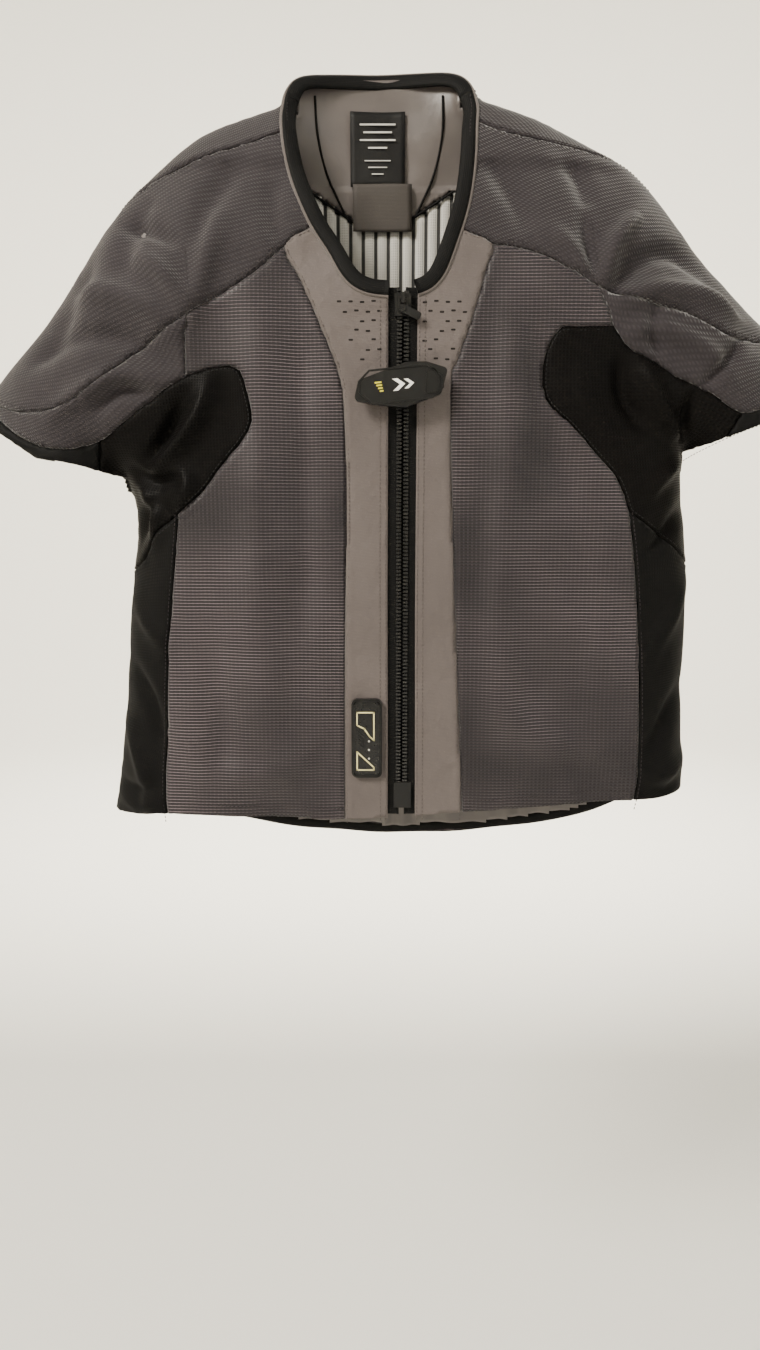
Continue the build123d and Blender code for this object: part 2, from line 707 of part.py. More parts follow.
# ================================================================ charging port
port_back = face + lining_inner + port_wall + 1.2
port_front = port_back - port_depth
with BuildPart() as port_socket:
    add(box_between((port_x - port_width / 2, port_front, port_z - port_height / 2),
                    (port_x + port_width / 2, port_back, port_z + port_height / 2)))
    add(box_between((port_x - port_width / 2 - port_wall, port_back - port_wall + 0.05,
                     port_z - port_height / 2 - port_wall),
                    (port_x + port_width / 2 + port_wall, port_back,
                     port_z + port_height / 2 + port_wall)))
    add(box_between((port_x - port_width / 2 + port_wall, port_front + port_wall,
                     port_z - port_height / 2 + port_wall),
                    (port_x + port_width / 2 - port_wall, port_back + 1.0,
                     port_z + port_height / 2 - port_wall)), mode=Mode.SUBTRACT)

cap_low = port_z - port_height / 2 - port_wall
cap_high = port_z + port_height / 2 + port_wall + cap_lug
with BuildPart() as port_cap:
    add(box_between((port_x - port_width / 2 - port_wall, port_back + fit, cap_low),
                    (port_x + port_width / 2 + port_wall, port_back + fit + cap_thick, cap_high)))
    fillet(port_cap.edges().filter_by(Axis.Y), radius=1.2)

# ================================================================ back protector


def curved_slab(outer_face, thick, bottom, height):
    """Slab that follows the protector's curve, its outer face at a given depth."""
    inset = back_depth - outer_face
    with BuildPart() as slab:
        with BuildSketch(Plane.XY.offset(bottom)):
            with Locations((0, tube_middle)):
                Ellipse(protector_half - inset, tube_depth - inset)
                Ellipse(protector_half - inset - thick, tube_depth - inset - thick,
                        mode=Mode.SUBTRACT)
            with Locations((0, -reach / 2)):
                Rectangle(4 * reach, reach, mode=Mode.SUBTRACT)
        extrude(amount=height)
    return slab.part


shell_bottom = shell_top - shell_height
plate_points = (
    (-shell_width / 2 + shell_taper, shell_bottom),
    (shell_width / 2 - shell_taper, shell_bottom),
    (shell_width / 2, shell_bottom + 3 * shell_taper),
    (shell_width / 2, shell_top - shell_taper),
    (shell_width / 2 - shell_taper, shell_top),
    (-shell_width / 2 + shell_taper, shell_top),
    (-shell_width / 2, shell_top - shell_taper),
    (-shell_width / 2, shell_bottom + 3 * shell_taper),
)
manifold_x = inflator_length / 2 + manifold_width / 2
inflator_offset = control_height / 2 + 3.0 + inflator_diameter / 2
inflator_depth = electronics_face - inflator_diameter / 2

with BuildPart() as protector_shell:
    add(curved_slab(shell_face, shell_thick, shell_bottom, shell_height))
    add(prism(plate_points, 0.0, reach, 0.0), mode=Mode.INTERSECT)
    with BuildSketch(Plane.XZ):
        with Locations((0, (shell_top + shell_bottom) / 2)):
            with GridLocations(1.4 * vent_width, vent_pitch, 3, vent_rows):
                SlotOverall(vent_width, vent_height)
        with Locations((manifold_x, bay_centre)):
            Circle(spigot_diameter / 2 + fit)
    extrude(amount=-reach, mode=Mode.SUBTRACT)

ribbon_x = -inflator_length / 2 - ribbon_height - 5.0
ribbon_depth = electronics_face - control_thick + 0.5
with BuildPart() as protector_foam:
    add(curved_slab(foam_face, foam_thick, shell_bottom, shell_height))
    add(prism(plate_points, 0.0, reach, 2.0), mode=Mode.INTERSECT)
    add(box_between((-bay_width / 2, 0.0, bay_centre - bay_height / 2),
                    (bay_width / 2, reach, bay_centre + bay_height / 2)), mode=Mode.SUBTRACT)
    add(box_between((ribbon_x - fit, 0.0, shell_bottom),
                    (ribbon_x + ribbon_height + fit, ribbon_depth + ribbon_thick + fit,
                     bay_centre)), mode=Mode.SUBTRACT)

control_inner = electronics_face - control_thick
lid_face = control_inner + lid_thick
corner_x = control_width / 2 - control_wall - screw_head / 2
corner_z = control_height / 2 - control_wall - screw_head / 2
corners = [(x, bay_centre + z) for x in (-corner_x, corner_x) for z in (-corner_z, corner_z)]

with BuildPart() as control_housing:
    with BuildSketch(Plane.XZ.offset(-electronics_face)):
        with Locations((0, bay_centre)):
            RectangleRounded(control_width, control_height, 4.0)
    extrude(amount=electronics_face - lid_face)
    with BuildSketch(Plane.XZ.offset(-electronics_face + control_wall)):
        with Locations((0, bay_centre)):
            RectangleRounded(control_width - 2 * control_wall, control_height - 2 * control_wall,
                             2.0)
        with Locations(*corners):
            Circle(screw_head / 2 + 1.0, mode=Mode.SUBTRACT)
    extrude(amount=control_thick, mode=Mode.SUBTRACT)
    with BuildSketch(Plane.XZ.offset(-lid_face)):
        with Locations(*corners):
            Circle(screw_diameter / 2)
    extrude(amount=-8.0, mode=Mode.SUBTRACT)

with BuildPart() as control_lid:
    with BuildSketch(Plane.XZ.offset(-lid_face)):
        with Locations((0, bay_centre)):
            RectangleRounded(control_width, control_height, 4.0)
        with Locations(*corners):
            Circle(screw_diameter / 2 + fit, mode=Mode.SUBTRACT)
    extrude(amount=lid_thick)

with BuildPart() as control_screws:
    with BuildSketch(Plane.XZ.offset(-lid_face - 7.0)):
        with Locations(*corners):
            Circle(screw_diameter / 2)
    extrude(amount=7.0 + lid_thick)
    with BuildSketch(Plane.XZ.offset(-control_inner)):
        with Locations(*corners):
            Circle(screw_head / 2)
    extrude(amount=1.4)

board_face = electronics_face - control_wall - 0.5
with BuildPart() as control_board:
    with BuildSketch(Plane.XZ.offset(-board_face)):
        with Locations((0, bay_centre)):
            Rectangle(2 * (corner_x - screw_head / 2 - 1.5), control_height - 4 * control_wall)
    extrude(amount=board_thick)

with BuildPart() as battery:
    with BuildSketch(Plane.XZ.offset(-board_face + board_thick + 0.6)):
        with Locations((0, bay_centre)):
            RectangleRounded(battery_width, battery_height, 2.0)
    extrude(amount=battery_thick)

with BuildPart() as inflators:
    with BuildSketch(Plane.YZ.offset(-inflator_length / 2)):
        for side in (-1, 1):
            with Locations((inflator_depth, bay_centre + side * inflator_offset)):
                Circle(inflator_diameter / 2)
    extrude(amount=inflator_length)
    fillet(inflators.edges().group_by(Axis.X)[0], radius=5.0)

with BuildPart() as gas_manifold:
    add(box_between(
        (inflator_length / 2, inflator_depth - 6.0, bay_centre - inflator_offset - 6.0),
        (inflator_length / 2 + manifold_width, inflator_depth + 6.0,
         bay_centre + inflator_offset + 6.0)))
    fillet(gas_manifold.edges().filter_by(Axis.Z), radius=2.5)
    with BuildSketch(Plane.XZ.offset(-inflator_depth)):
        with Locations((manifold_x, bay_centre)):
            Circle(spigot_diameter / 2)
    extrude(amount=-(shell_face - inflator_depth - 1.5))

ribbon_half = half_width_at(ribbon_level + ribbon_height) - cloth - 2 * layer_gap
ribbon_face = tube_depth - cloth - 2 * layer_gap
ribbon_bend = tube_middle + (ribbon_face - ribbon_thick / 2) * sqrt(
    1 - (ribbon_x / ribbon_half) ** 2)
ribbon_stop = display_x - display_width / 2 - display_flange - layer_gap
with BuildPart() as harness_ribbon:
    with BuildSketch(Plane.XY.offset(ribbon_level)):
        with Locations((0, tube_middle)):
            Ellipse(ribbon_half, ribbon_face)
            Ellipse(ribbon_half - ribbon_thick, ribbon_face - ribbon_thick, mode=Mode.SUBTRACT)
        with Locations((ribbon_stop + reach, -reach / 2)):
            Rectangle(2 * reach, reach, mode=Mode.SUBTRACT)
        with Locations((ribbon_x + ribbon_height + 2 * reach, reach / 2)):
            Rectangle(4 * reach, 1.01 * reach, mode=Mode.SUBTRACT)
    extrude(amount=ribbon_height)
    add(box_between((ribbon_x, ribbon_depth, ribbon_level),
                    (ribbon_x + ribbon_height, ribbon_bend, ribbon_level + ribbon_thick)))
    add(box_between((ribbon_x, ribbon_depth, ribbon_level),
                    (ribbon_x + ribbon_height, ribbon_depth + ribbon_thick,
                     bay_centre + ribbon_height / 2)))
    add(box_between((ribbon_x, ribbon_depth, bay_centre - ribbon_height / 2),
                    (-control_width / 2, ribbon_depth + ribbon_thick,
                     bay_centre + ribbon_height / 2)))

# ================================================================ written parts
save(collar_front, "collar_front")
save(collar_back, "collar_back")
save(back_yoke, "back_yoke")
save(back_panel, "back_panel")
save(hem_binding, "hem_binding")
save(placket, "placket_right")
save(placket_left, "placket_left")
save(front_lining_right, "front_lining_right")
save(front_lining_left, "front_lining_left")
save(lining_yoke, "lining_yoke")
save(back_lining, "back_lining")
save(care_label, "care_label")
save(label_patch, "label_patch")
save(airbag_front, "airbag_front")
save(airbag_back, "airbag_back")
save(zip_box, "zip_box")
save(zip_pin, "zip_pin")
save(zip_slider, "zip_slider")
save(pull_link, "pull_link")
save(pull_tab, "pull_tab")
save(flap_base, "flap_base")
save(flap_keeper, "flap_keeper")
save(closure_flap, "closure_flap")
save(flap_magnet, "flap_magnet")
save(display_housing, "display_housing")
save(display_lens, "display_lens")
save(display_board, "display_board")
save(display_lights, "display_lights")
save(port_socket, "port_socket")
save(port_cap, "port_cap")
save(protector_shell, "protector_shell")
save(protector_foam, "protector_foam")
save(control_housing, "control_housing")
save(control_lid, "control_lid")
save(control_screws, "control_screws")
save(control_board, "control_board")
save(battery, "battery")
save(inflators, "inflators")
save(gas_manifold, "gas_manifold")
save(harness_ribbon, "harness_ribbon")

save_pair(saddle, "saddle")
save_pair(shoulder_panel, "shoulder_panel")
save_pair(sleeve_panel, "sleeve_panel")
save_pair(sleeve_back, "sleeve_back")
save_pair(underarm_panel, "underarm_panel")
save_pair(side_panel, "side_panel")
save_pair(front_panel, "front_panel")
save_pair(cuff_band, "cuff_band")
save_pair(zip_tape, "zip_tape")
save_pair(zip_chain, "zip_chain")
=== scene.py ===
"""Looks of a zip-front airbag vest with a built-in back protector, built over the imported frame."""

import logging
import math
from dataclasses import dataclass, field
from enum import Enum
from typing import Callable, Iterable, Sequence

import bmesh
import bpy
import numpy as np
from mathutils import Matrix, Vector
from mathutils.bvhtree import BVHTree


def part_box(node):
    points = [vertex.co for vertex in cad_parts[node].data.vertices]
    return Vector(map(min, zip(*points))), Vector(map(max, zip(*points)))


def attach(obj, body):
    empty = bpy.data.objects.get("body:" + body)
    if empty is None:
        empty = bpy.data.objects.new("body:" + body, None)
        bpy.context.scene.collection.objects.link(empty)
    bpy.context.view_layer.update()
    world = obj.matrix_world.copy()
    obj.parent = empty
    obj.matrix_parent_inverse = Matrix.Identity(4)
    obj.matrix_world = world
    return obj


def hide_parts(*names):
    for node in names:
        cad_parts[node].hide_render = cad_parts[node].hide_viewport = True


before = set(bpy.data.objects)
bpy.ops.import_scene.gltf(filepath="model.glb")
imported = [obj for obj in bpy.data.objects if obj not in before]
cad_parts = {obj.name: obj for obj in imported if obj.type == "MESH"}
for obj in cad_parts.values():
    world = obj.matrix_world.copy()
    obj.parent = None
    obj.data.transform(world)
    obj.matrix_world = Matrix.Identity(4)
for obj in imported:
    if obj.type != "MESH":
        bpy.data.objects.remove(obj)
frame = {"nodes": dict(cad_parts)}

LOG = logging.getLogger("vest")
MM = 0.001
Point = tuple[float, float]
Line = Sequence[Point]


class Side(Enum):
    """Which face of the garment a line or a panel lies on."""

    FRONT = -1.0
    BACK = 1.0


class Hand(Enum):
    """Side of the garment as seen by someone looking at its front."""

    LEFT = "left"
    RIGHT = "right"


# ------------------------------------------------------------------ the garment's lines, in millimetres (x, z)
MIDDLE_Y = 2.0
TOP = {
    Hand.LEFT: [(-97, -3), (-116, -9), (-161, -26), (-208, -61), (-234, -88), (-262, -126), (-287, -163),
                (-315, -196), (-341, -225), (-353, -239)],
    Hand.RIGHT: [(59, 3), (96, -9), (129, -22), (179, -49), (205, -72), (249, -125), (278, -155),
                 (303, -179), (335, -213), (353, -233)],
}
FLANK = {
    Hand.LEFT: [(-235, -302), (-229, -330), (-231, -372), (-238, -430), (-243, -497), (-250, -550),
                (-257, -592)],
    Hand.RIGHT: [(237, -281), (241, -320), (247, -376), (249, -440), (250, -523), (254, -549), (253, -571)],
}
CUFF_FRONT = {
    Hand.LEFT: [(-353, -239), (-347, -262), (-330, -276), (-306, -286), (-282, -290), (-262, -294),
                (-246, -299), (-235, -302)],
    Hand.RIGHT: [(353, -233), (347, -240), (330, -247), (304, -256), (277, -266), (254, -275), (237, -281)],
}
CUFF_BACK = {
    Hand.LEFT: [(-353, -239), (-312, -258), (-270, -282), (-235, -302)],
    Hand.RIGHT: [(353, -233), (312, -246), (270, -265), (237, -281)],
}
NECK_FRONT = {
    Hand.LEFT: [(-97, -3), (-97, -14), (-94, -42), (-89, -66), (-82, -86), (-71, -110), (-57, -131),
                (-49, -146), (-40, -157), (-26, -163), (-11.5, -164)],
    Hand.RIGHT: [(59, 3), (60, -10), (58, -27), (57, -47), (55, -68), (51, -92), (45, -113), (39, -130),
                 (33, -146), (26, -156), (19, -161), (11.5, -163)],
}
NECK_BACK = [(-97, -3), (-91, 13), (-80, 22), (-50, 27), (-20, 28), (10, 28), (38, 25), (52, 17), (59, 3)]
NECK_TRIM = [(-97, -3), (-90, 10), (-79, 18), (-50, 23), (-20, 24), (10, 24), (38, 21), (51, 14), (59, 3)]
HEM_FRONT = [(-257, -592), (-228, -588), (-197, -584), (-120, -586), (-48, -588), (0, -586), (52, -582),
             (120, -577), (193, -572), (225, -571), (253, -571)]
HEM_BACK = [(-257, -592), (-232, -602), (-206, -609), (-161, -621), (-85, -633), (1, -638), (85, -634),
            (165, -622), (215, -603), (253, -571)]
ZIP_EDGE = {
    Hand.LEFT: [(-11.5, -164), (-11.5, -250), (-11.8, -400), (-11.5, -500), (-11.5, -590)],
    Hand.RIGHT: [(11.5, -163), (11.2, -250), (10.8, -400), (11.2, -500), (11.5, -590)],
}
PLACKET = {
    Hand.LEFT: [(-71, -110), (-93, -125), (-81, -150), (-62, -194), (-51, -223), (-47, -247), (-45, -327),
                (-47, -440), (-48, -592)],
    Hand.RIGHT: [(45, -113), (71, -124), (66, -140), (54, -183), (43, -214), (38, -236), (42, -368),
                 (46, -458), (52, -590)],
}
YOKE = {
    Hand.LEFT: [(-93, -125), (-112, -143), (-140, -162), (-167, -178), (-197, -197), (-227, -218), (-261, -242),
                (-283, -250), (-304, -252), (-330, -246), (-356, -236)],
    Hand.RIGHT: [(71, -124), (92, -127), (112, -134), (132, -145), (153, -158), (175, -165), (198, -171),
                 (221, -176), (242, -185), (261, -193), (280, -195), (325, -196)],
}
ARMHOLE = {
    Hand.LEFT: [(-168, -178), (-171, -200), (-172, -225)],
    Hand.RIGHT: [(153, -158), (160, -174), (165, -187)],
}
DART = {
    Hand.LEFT: [(-173, -127), (-170, -150), (-168, -178)],
    Hand.RIGHT: [(145, -100), (148, -126), (153, -158)],
}
GREY_EDGE = {
    Hand.LEFT: [(-172, -225), (-203, -245), (-226, -262), (-246, -275), (-270, -281), (-292, -279),
                (-312, -270), (-334, -254), (-356, -237)],
    Hand.RIGHT: [(165, -187), (174, -200), (181, -206), (202, -214), (215, -224), (245, -237), (273, -253),
                 (300, -245), (330, -233), (356, -222)],
}
PATCH = {
    Hand.LEFT: [(-172, -225), (-152, -219), (-137, -217), (-129, -221), (-124, -236), (-120, -259),
                (-128, -275), (-147, -297), (-162, -316), (-182, -333)],
    Hand.RIGHT: [(165, -187), (143, -188), (125, -188), (118, -195), (112, -211), (114, -242), (136, -265),
                 (157, -287), (174, -306), (184, -331)],
}
NET_EDGE = {
    Hand.LEFT: [(-182, -333), (-204, -350), (-216, -370), (-236, -384)],
    Hand.RIGHT: [(184, -331), (205, -345), (226, -360), (252, -380)],
}
SIDE_SEAM = {
    Hand.LEFT: [(-182, -333), (-186, -366), (-193, -439), (-197, -509), (-200, -560), (-198, -592)],
    Hand.RIGHT: [(184, -331), (191, -380), (196, -436), (200, -513), (199, -557), (195, -580)],
}
SHOULDER_SEAM = {
    Hand.LEFT: [(-96, -32), (-114, -38), (-166, -55), (-200, -67), (-232, -84)],
    Hand.RIGHT: [(58, -22), (82, -31), (108, -37), (154, -45), (182, -51), (204, -71)],
}
SHOULDER_BACK = {
    Hand.LEFT: [(-95, 3), (-118, -34), (-166, -58), (-205, -78), (-234, -88)],
    Hand.RIGHT: [(57, 8), (84, -28), (130, -50), (172, -62), (205, -72)],
}
BACK_YOKE = [(-192, -168), (-120, -186), (-60, -193), (-16, -195), (60, -192), (120, -183), (180, -160)]
ARMHOLE_BACK = {
    Hand.LEFT: [(-205, -78), (-196, -120), (-192, -168), (-196, -230), (-210, -280), (-235, -302)],
    Hand.RIGHT: [(172, -62), (178, -110), (180, -160), (190, -220), (210, -262), (237, -281)],
}
SIDE_BACK = {
    Hand.LEFT: [(-210, -280), (-204, -340), (-206, -450), (-214, -612)],
    Hand.RIGHT: [(210, -262), (208, -340), (210, -450), (216, -608)],
}
SLEEVE_LINE = {
    Hand.RIGHT: [(273, -195), (265, -214), (254, -238)],
}


DRAWN_LOW, DRAWN_HIGH = (-352.0, -632.0), (352.0, 28.0)
NODE_BOXES = np.array([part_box(name) for name in frame["nodes"]]) / MM
FRAME_LOW, FRAME_HIGH = NODE_BOXES[:, 0].min(0).round(2), NODE_BOXES[:, 1].max(0).round(2)


def on_frame(line: Line) -> Line:
    """A line drawn for the usual size, stretched to the box that the frame has.

    Args:
        line: Points (x, z) in millimetres, drawn inside DRAWN_LOW and DRAWN_HIGH.

    Returns:
        The same points at the frame's size.
    """
    low, high = FRAME_LOW[[0, 2]], FRAME_HIGH[[0, 2]]
    drawn = np.array(DRAWN_LOW), np.array(DRAWN_HIGH)
    grown = (high - low) / (drawn[1] - drawn[0])
    return [tuple(low + (np.array(point) - drawn[0]) * grown) for point in line]


for table in (TOP, FLANK, CUFF_FRONT, CUFF_BACK, NECK_FRONT, ZIP_EDGE, PLACKET, YOKE, ARMHOLE, DART, GREY_EDGE,
              PATCH, NET_EDGE, SIDE_SEAM, SHOULDER_SEAM, SHOULDER_BACK, ARMHOLE_BACK, SIDE_BACK, SLEEVE_LINE):
    table.update({hand: on_frame(line) for hand, line in table.items()})
NECK_BACK, NECK_TRIM, HEM_FRONT, HEM_BACK, BACK_YOKE = map(
    on_frame, (NECK_BACK, NECK_TRIM, HEM_FRONT, HEM_BACK, BACK_YOKE))


def smooth_line(points: Line, step: float = 9.0) -> np.ndarray:
    """Resamples a line through its points with a Catmull-Rom curve.

    Args:
        points: The line's points in millimetres.
        step: Distance between the new points.

    Returns:
        An array of points, the first and last unchanged.
    """
    raw = np.array(points, float)
    ends = np.vstack([2 * raw[0] - raw[1], raw, 2 * raw[-1] - raw[-2]])
    made = []
    for a, b, c, d in zip(ends, ends[1:], ends[2:], ends[3:]):
        count = max(1, int(round(np.linalg.norm(c - b) / step)))
        for t in np.arange(count) / count:
            made.append(0.5 * (2 * b + (c - a) * t + (2 * a - 5 * b + 4 * c - d) * t ** 2
                               + (3 * b - a - 3 * c + d) * t ** 3))
    made.append(raw[-1])
    return np.array(made)


def even_line(points: np.ndarray, step: float) -> np.ndarray:
    """Spaces points evenly along a line of any dimension."""
    run = np.concatenate([[0], np.cumsum(np.linalg.norm(np.diff(points, axis=0), axis=1))])
    marks = np.linspace(0, run[-1], max(2, int(round(run[-1] / step)) + 1))
    return np.stack([np.interp(marks, run, points[:, k]) for k in range(points.shape[1])], axis=1)


def line_distance(points: np.ndarray, line: np.ndarray) -> np.ndarray:
    """Distance from each point to a line, in the plane."""
    best = np.full(len(points), 1e9)
    for a, b in zip(line[:-1], line[1:]):
        along = b - a
        t = np.clip(((points - a) @ along) / max(along @ along, 1e-9), 0, 1)
        best = np.minimum(best, np.linalg.norm(points - (a + t[:, None] * along), axis=1))
    return best


def inside(points: np.ndarray, outline: np.ndarray) -> np.ndarray:
    """Which points lie inside a closed outline, by counting crossings."""
    x, z = points[:, 0], points[:, 1]
    found = np.zeros(len(points), bool)
    for (x1, z1), (x2, z2) in zip(outline, np.roll(outline, -1, axis=0)):
        if z1 != z2:
            crosses = ((z1 > z) != (z2 > z)) & (x < (x2 - x1) * (z - z1) / (z2 - z1) + x1)
            found ^= crosses
    return found


def joined(*lines: Line | np.ndarray) -> np.ndarray:
    """Puts several lines end to end, each already in order."""
    return np.vstack([np.array(line, float) for line in lines])


# ------------------------------------------------------------------ materials
class Graph:
    """A small helper that builds one material's nodes."""

    def __init__(self, name: str) -> None:
        """Starts an empty material of that name."""
        self.material = bpy.data.materials.new(name)
        self.material.use_nodes = True
        self.nodes = self.material.node_tree.nodes
        self.links = self.material.node_tree.links
        self.surface = self.nodes["Principled BSDF"]
        self.uv = self.nodes.new("ShaderNodeUVMap").outputs["UV"]
        self.place = self.nodes.new("ShaderNodeTexCoord").outputs["Object"]

    def put(self, socket: bpy.types.NodeSocket, value: object) -> None:
        """Links or sets one input."""
        if isinstance(value, bpy.types.NodeSocket):
            self.links.new(value, socket)
        elif isinstance(value, tuple) and len(value) == 3 and socket.type == "RGBA":
            socket.default_value = (*value, 1.0)
        else:
            socket.default_value = value

    def math(self, kind: str, a: object, b: object = 0.0) -> bpy.types.NodeSocket:
        """One maths node."""
        node = self.nodes.new("ShaderNodeMath")
        node.operation = kind
        self.put(node.inputs[0], a)
        self.put(node.inputs[1], b)
        return node.outputs[0]

    def split(self, vector: bpy.types.NodeSocket) -> tuple[bpy.types.NodeSocket, bpy.types.NodeSocket]:
        """The first two components of a vector."""
        node = self.nodes.new("ShaderNodeSeparateXYZ")
        self.put(node.inputs[0], vector)
        return node.outputs[0], node.outputs[1]

    def wave(self, value: object, pitch: float) -> bpy.types.NodeSocket:
        """A sine of a length in metres, from 0 to 1."""
        turned = self.math("SINE", self.math("MULTIPLY", value, 2 * math.pi / pitch))
        return self.math("ADD", self.math("MULTIPLY", turned, 0.5), 0.5)

    def noise(self, scale: float, detail: float = 3.0, vector: object = None) -> bpy.types.NodeSocket:
        """Noise of a scale per metre."""
        node = self.nodes.new("ShaderNodeTexNoise")
        self.put(node.inputs["Vector"], vector or self.place)
        node.inputs["Scale"].default_value = scale
        node.inputs["Detail"].default_value = detail
        return node.outputs["Fac"]

    def ramp(self, value: object, low: float, high: float,
             to: tuple[float, float] = (0.0, 1.0)) -> bpy.types.NodeSocket:
        """A clamped change of range."""
        node = self.nodes.new("ShaderNodeMapRange")
        self.put(node.inputs["Value"], value)
        node.inputs["From Min"].default_value = low
        node.inputs["From Max"].default_value = high
        node.inputs["To Min"].default_value = to[0]
        node.inputs["To Max"].default_value = to[1]
        return node.outputs[0]

    def mix(self, share: object, a: object, b: object) -> bpy.types.NodeSocket:
        """Mixes two colours."""
        node = self.nodes.new("ShaderNodeMix")
        node.data_type = "RGBA"
        self.put(node.inputs[0], share)
        self.put(node.inputs[6], a)
        self.put(node.inputs[7], b)
        return node.outputs[2]

    def bump(self, height: object, strength: float, distance: float) -> None:
        """Adds a relief to the surface, over any that is there."""
        node = self.nodes.new("ShaderNodeBump")
        node.inputs["Strength"].default_value = strength
        node.inputs["Distance"].default_value = distance
        self.put(node.inputs["Height"], height)
        if self.surface.inputs["Normal"].is_linked:
            self.links.new(self.surface.inputs["Normal"].links[0].from_socket, node.inputs["Normal"])
        self.links.new(node.outputs[0], self.surface.inputs["Normal"])

    def set(self, **values: object) -> None:
        """Sets the surface's inputs, with spaces written as underscores."""
        for name, value in values.items():
            self.put(self.surface.inputs[name.replace("_", " ")], value)


def shade(colour: tuple[float, float, float], by: float) -> tuple[float, float, float]:
    """A colour made lighter or darker."""
    return tuple(min(1.0, c * by) for c in colour)


@dataclass(frozen=True)
class Cloth:
    """A woven or knitted cloth.

    Attributes:
        name: Material name.
        colour: Base colour.
        pitch: Yarn spacing in metres.
        slant: 0 for a plain weave, 1 for a diagonal one.
        relief: Strength of the yarn relief.
        sheen: Sheen weight.
        roughness: Base roughness.
        contrast: How much darker the gaps between the yarns are.
        specular: Specular level.
        crumple: Strength of the small creases.
    """

    name: str
    colour: tuple[float, float, float]
    pitch: float = 0.0012
    slant: float = 1.0
    relief: float = 0.5
    sheen: float = 0.25
    roughness: float = 0.8
    contrast: float = 0.55
    specular: float = 0.25
    crumple: float = 0.25

    def build(self) -> bpy.types.Material:
        """Makes the material."""
        g = Graph(self.name)
        u, v = g.split(g.uv)
        across = g.wave(g.math("ADD", u, g.math("MULTIPLY", v, self.slant)), self.pitch)
        along = g.wave(g.math("SUBTRACT", v, g.math("MULTIPLY", u, 0.35 * self.slant)), self.pitch * 1.35)
        yarn = g.math("MULTIPLY", across, along)
        broad = g.ramp(g.noise(9.0), 0.3, 0.7)
        fine = g.noise(900.0, 2.0)
        worn = g.mix(broad, shade(self.colour, 0.86), shade(self.colour, 1.12))
        tone = g.mix(g.ramp(yarn, 0.05, 0.75), g.mix(0.5, worn, shade(self.colour, 1.0 - self.contrast)), worn)
        g.set(Base_Color=g.mix(g.ramp(fine, 0.62, 0.75, (0.0, 0.25)), tone, shade(self.colour, 1.9)),
              Roughness=self.roughness, Specular_IOR_Level=self.specular,
              Sheen_Weight=self.sheen, Sheen_Roughness=0.45)
        g.bump(yarn, self.relief, 0.0005)
        g.bump(g.noise(55.0, 4.0), self.crumple, 0.002)
        g.bump(g.noise(21.0, 3.0), self.crumple, 0.006)
        return g.material


@dataclass(frozen=True)
class NetCloth:
    """Cloth under a fine rectangular net; the light that its threads catch is painted into the colour as a
    highlight.

    Attributes:
        name: Material name.
        colour: Colour of the ground.
        thread: Colour of the painted highlight on the net's threads.
        cell: Width and height of one mesh, in metres.
        glint: Strength of the painted highlight on the threads.
        sheen: Sheen weight.
        specular: Specular level.
    """

    name: str
    colour: tuple[float, float, float]
    thread: tuple[float, float, float]
    cell: tuple[float, float] = (0.0034, 0.0026)
    glint: float = 0.9
    sheen: float = 0.15
    specular: float = 0.3

    def build(self) -> bpy.types.Material:
        """Makes the material."""
        g = Graph(self.name)
        u, v = g.split(g.uv)
        wander = g.math("MULTIPLY", g.math("SUBTRACT", g.noise(26.0, 2.0), 0.5), 0.0016)
        bars = g.wave(g.math("ADD", v, wander), self.cell[1])
        posts = g.wave(g.math("ADD", u, wander), self.cell[0])
        hole = g.math("MULTIPLY", g.ramp(bars, 0.25, 0.62), g.ramp(posts, 0.22, 0.55))
        thread = g.math("SUBTRACT", 1.0, hole)
        # Painted highlight: in patches, the tops of the bars are mixed towards the thread colour, standing in for
        # light that the threads catch.
        patchy = g.ramp(g.noise(7.0, 3.0), 0.35, 0.66, (0.12, 1.0))
        lit = g.math("MULTIPLY", g.math("MULTIPLY", g.ramp(bars, 0.75, 1.0), patchy), self.glint)
        tint = g.mix(g.ramp(g.noise(5.0), 0.35, 0.65), shade(self.colour, 0.88), shade(self.colour, 1.1))
        ground = g.mix(thread, shade(self.colour, 0.45), tint)
        g.set(Base_Color=g.mix(lit, ground, self.thread), Roughness=g.ramp(thread, 0.0, 1.0, (0.8, 0.5)),
              Specular_IOR_Level=self.specular, Sheen_Weight=self.sheen, Sheen_Roughness=0.4)
        g.bump(thread, 0.6, 0.0006)
        g.bump(g.noise(60.0, 3.0), 0.2, 0.0015)
        return g.material


@dataclass(frozen=True)
class Satin:
    """Smooth lining satin with a soft shine."""

    name: str
    colour: tuple[float, float, float]
    roughness: float = 0.38

    def build(self) -> bpy.types.Material:
        """Makes the material."""
        g = Graph(self.name)
        u, v = g.split(g.uv)
        yarn = g.wave(g.math("ADD", v, g.math("MULTIPLY", u, 0.1)), 0.0006)
        tint = g.mix(g.ramp(g.noise(14.0), 0.3, 0.7), shade(self.colour, 0.85), shade(self.colour, 1.15))
        g.set(Base_Color=tint, Roughness=self.roughness, Specular_IOR_Level=0.5, Anisotropic=0.4,
              Sheen_Weight=0.3, Sheen_Roughness=0.3)
        g.bump(yarn, 0.15, 0.0002)
        g.bump(g.noise(90.0, 3.0), 0.3, 0.0012)
        return g.material


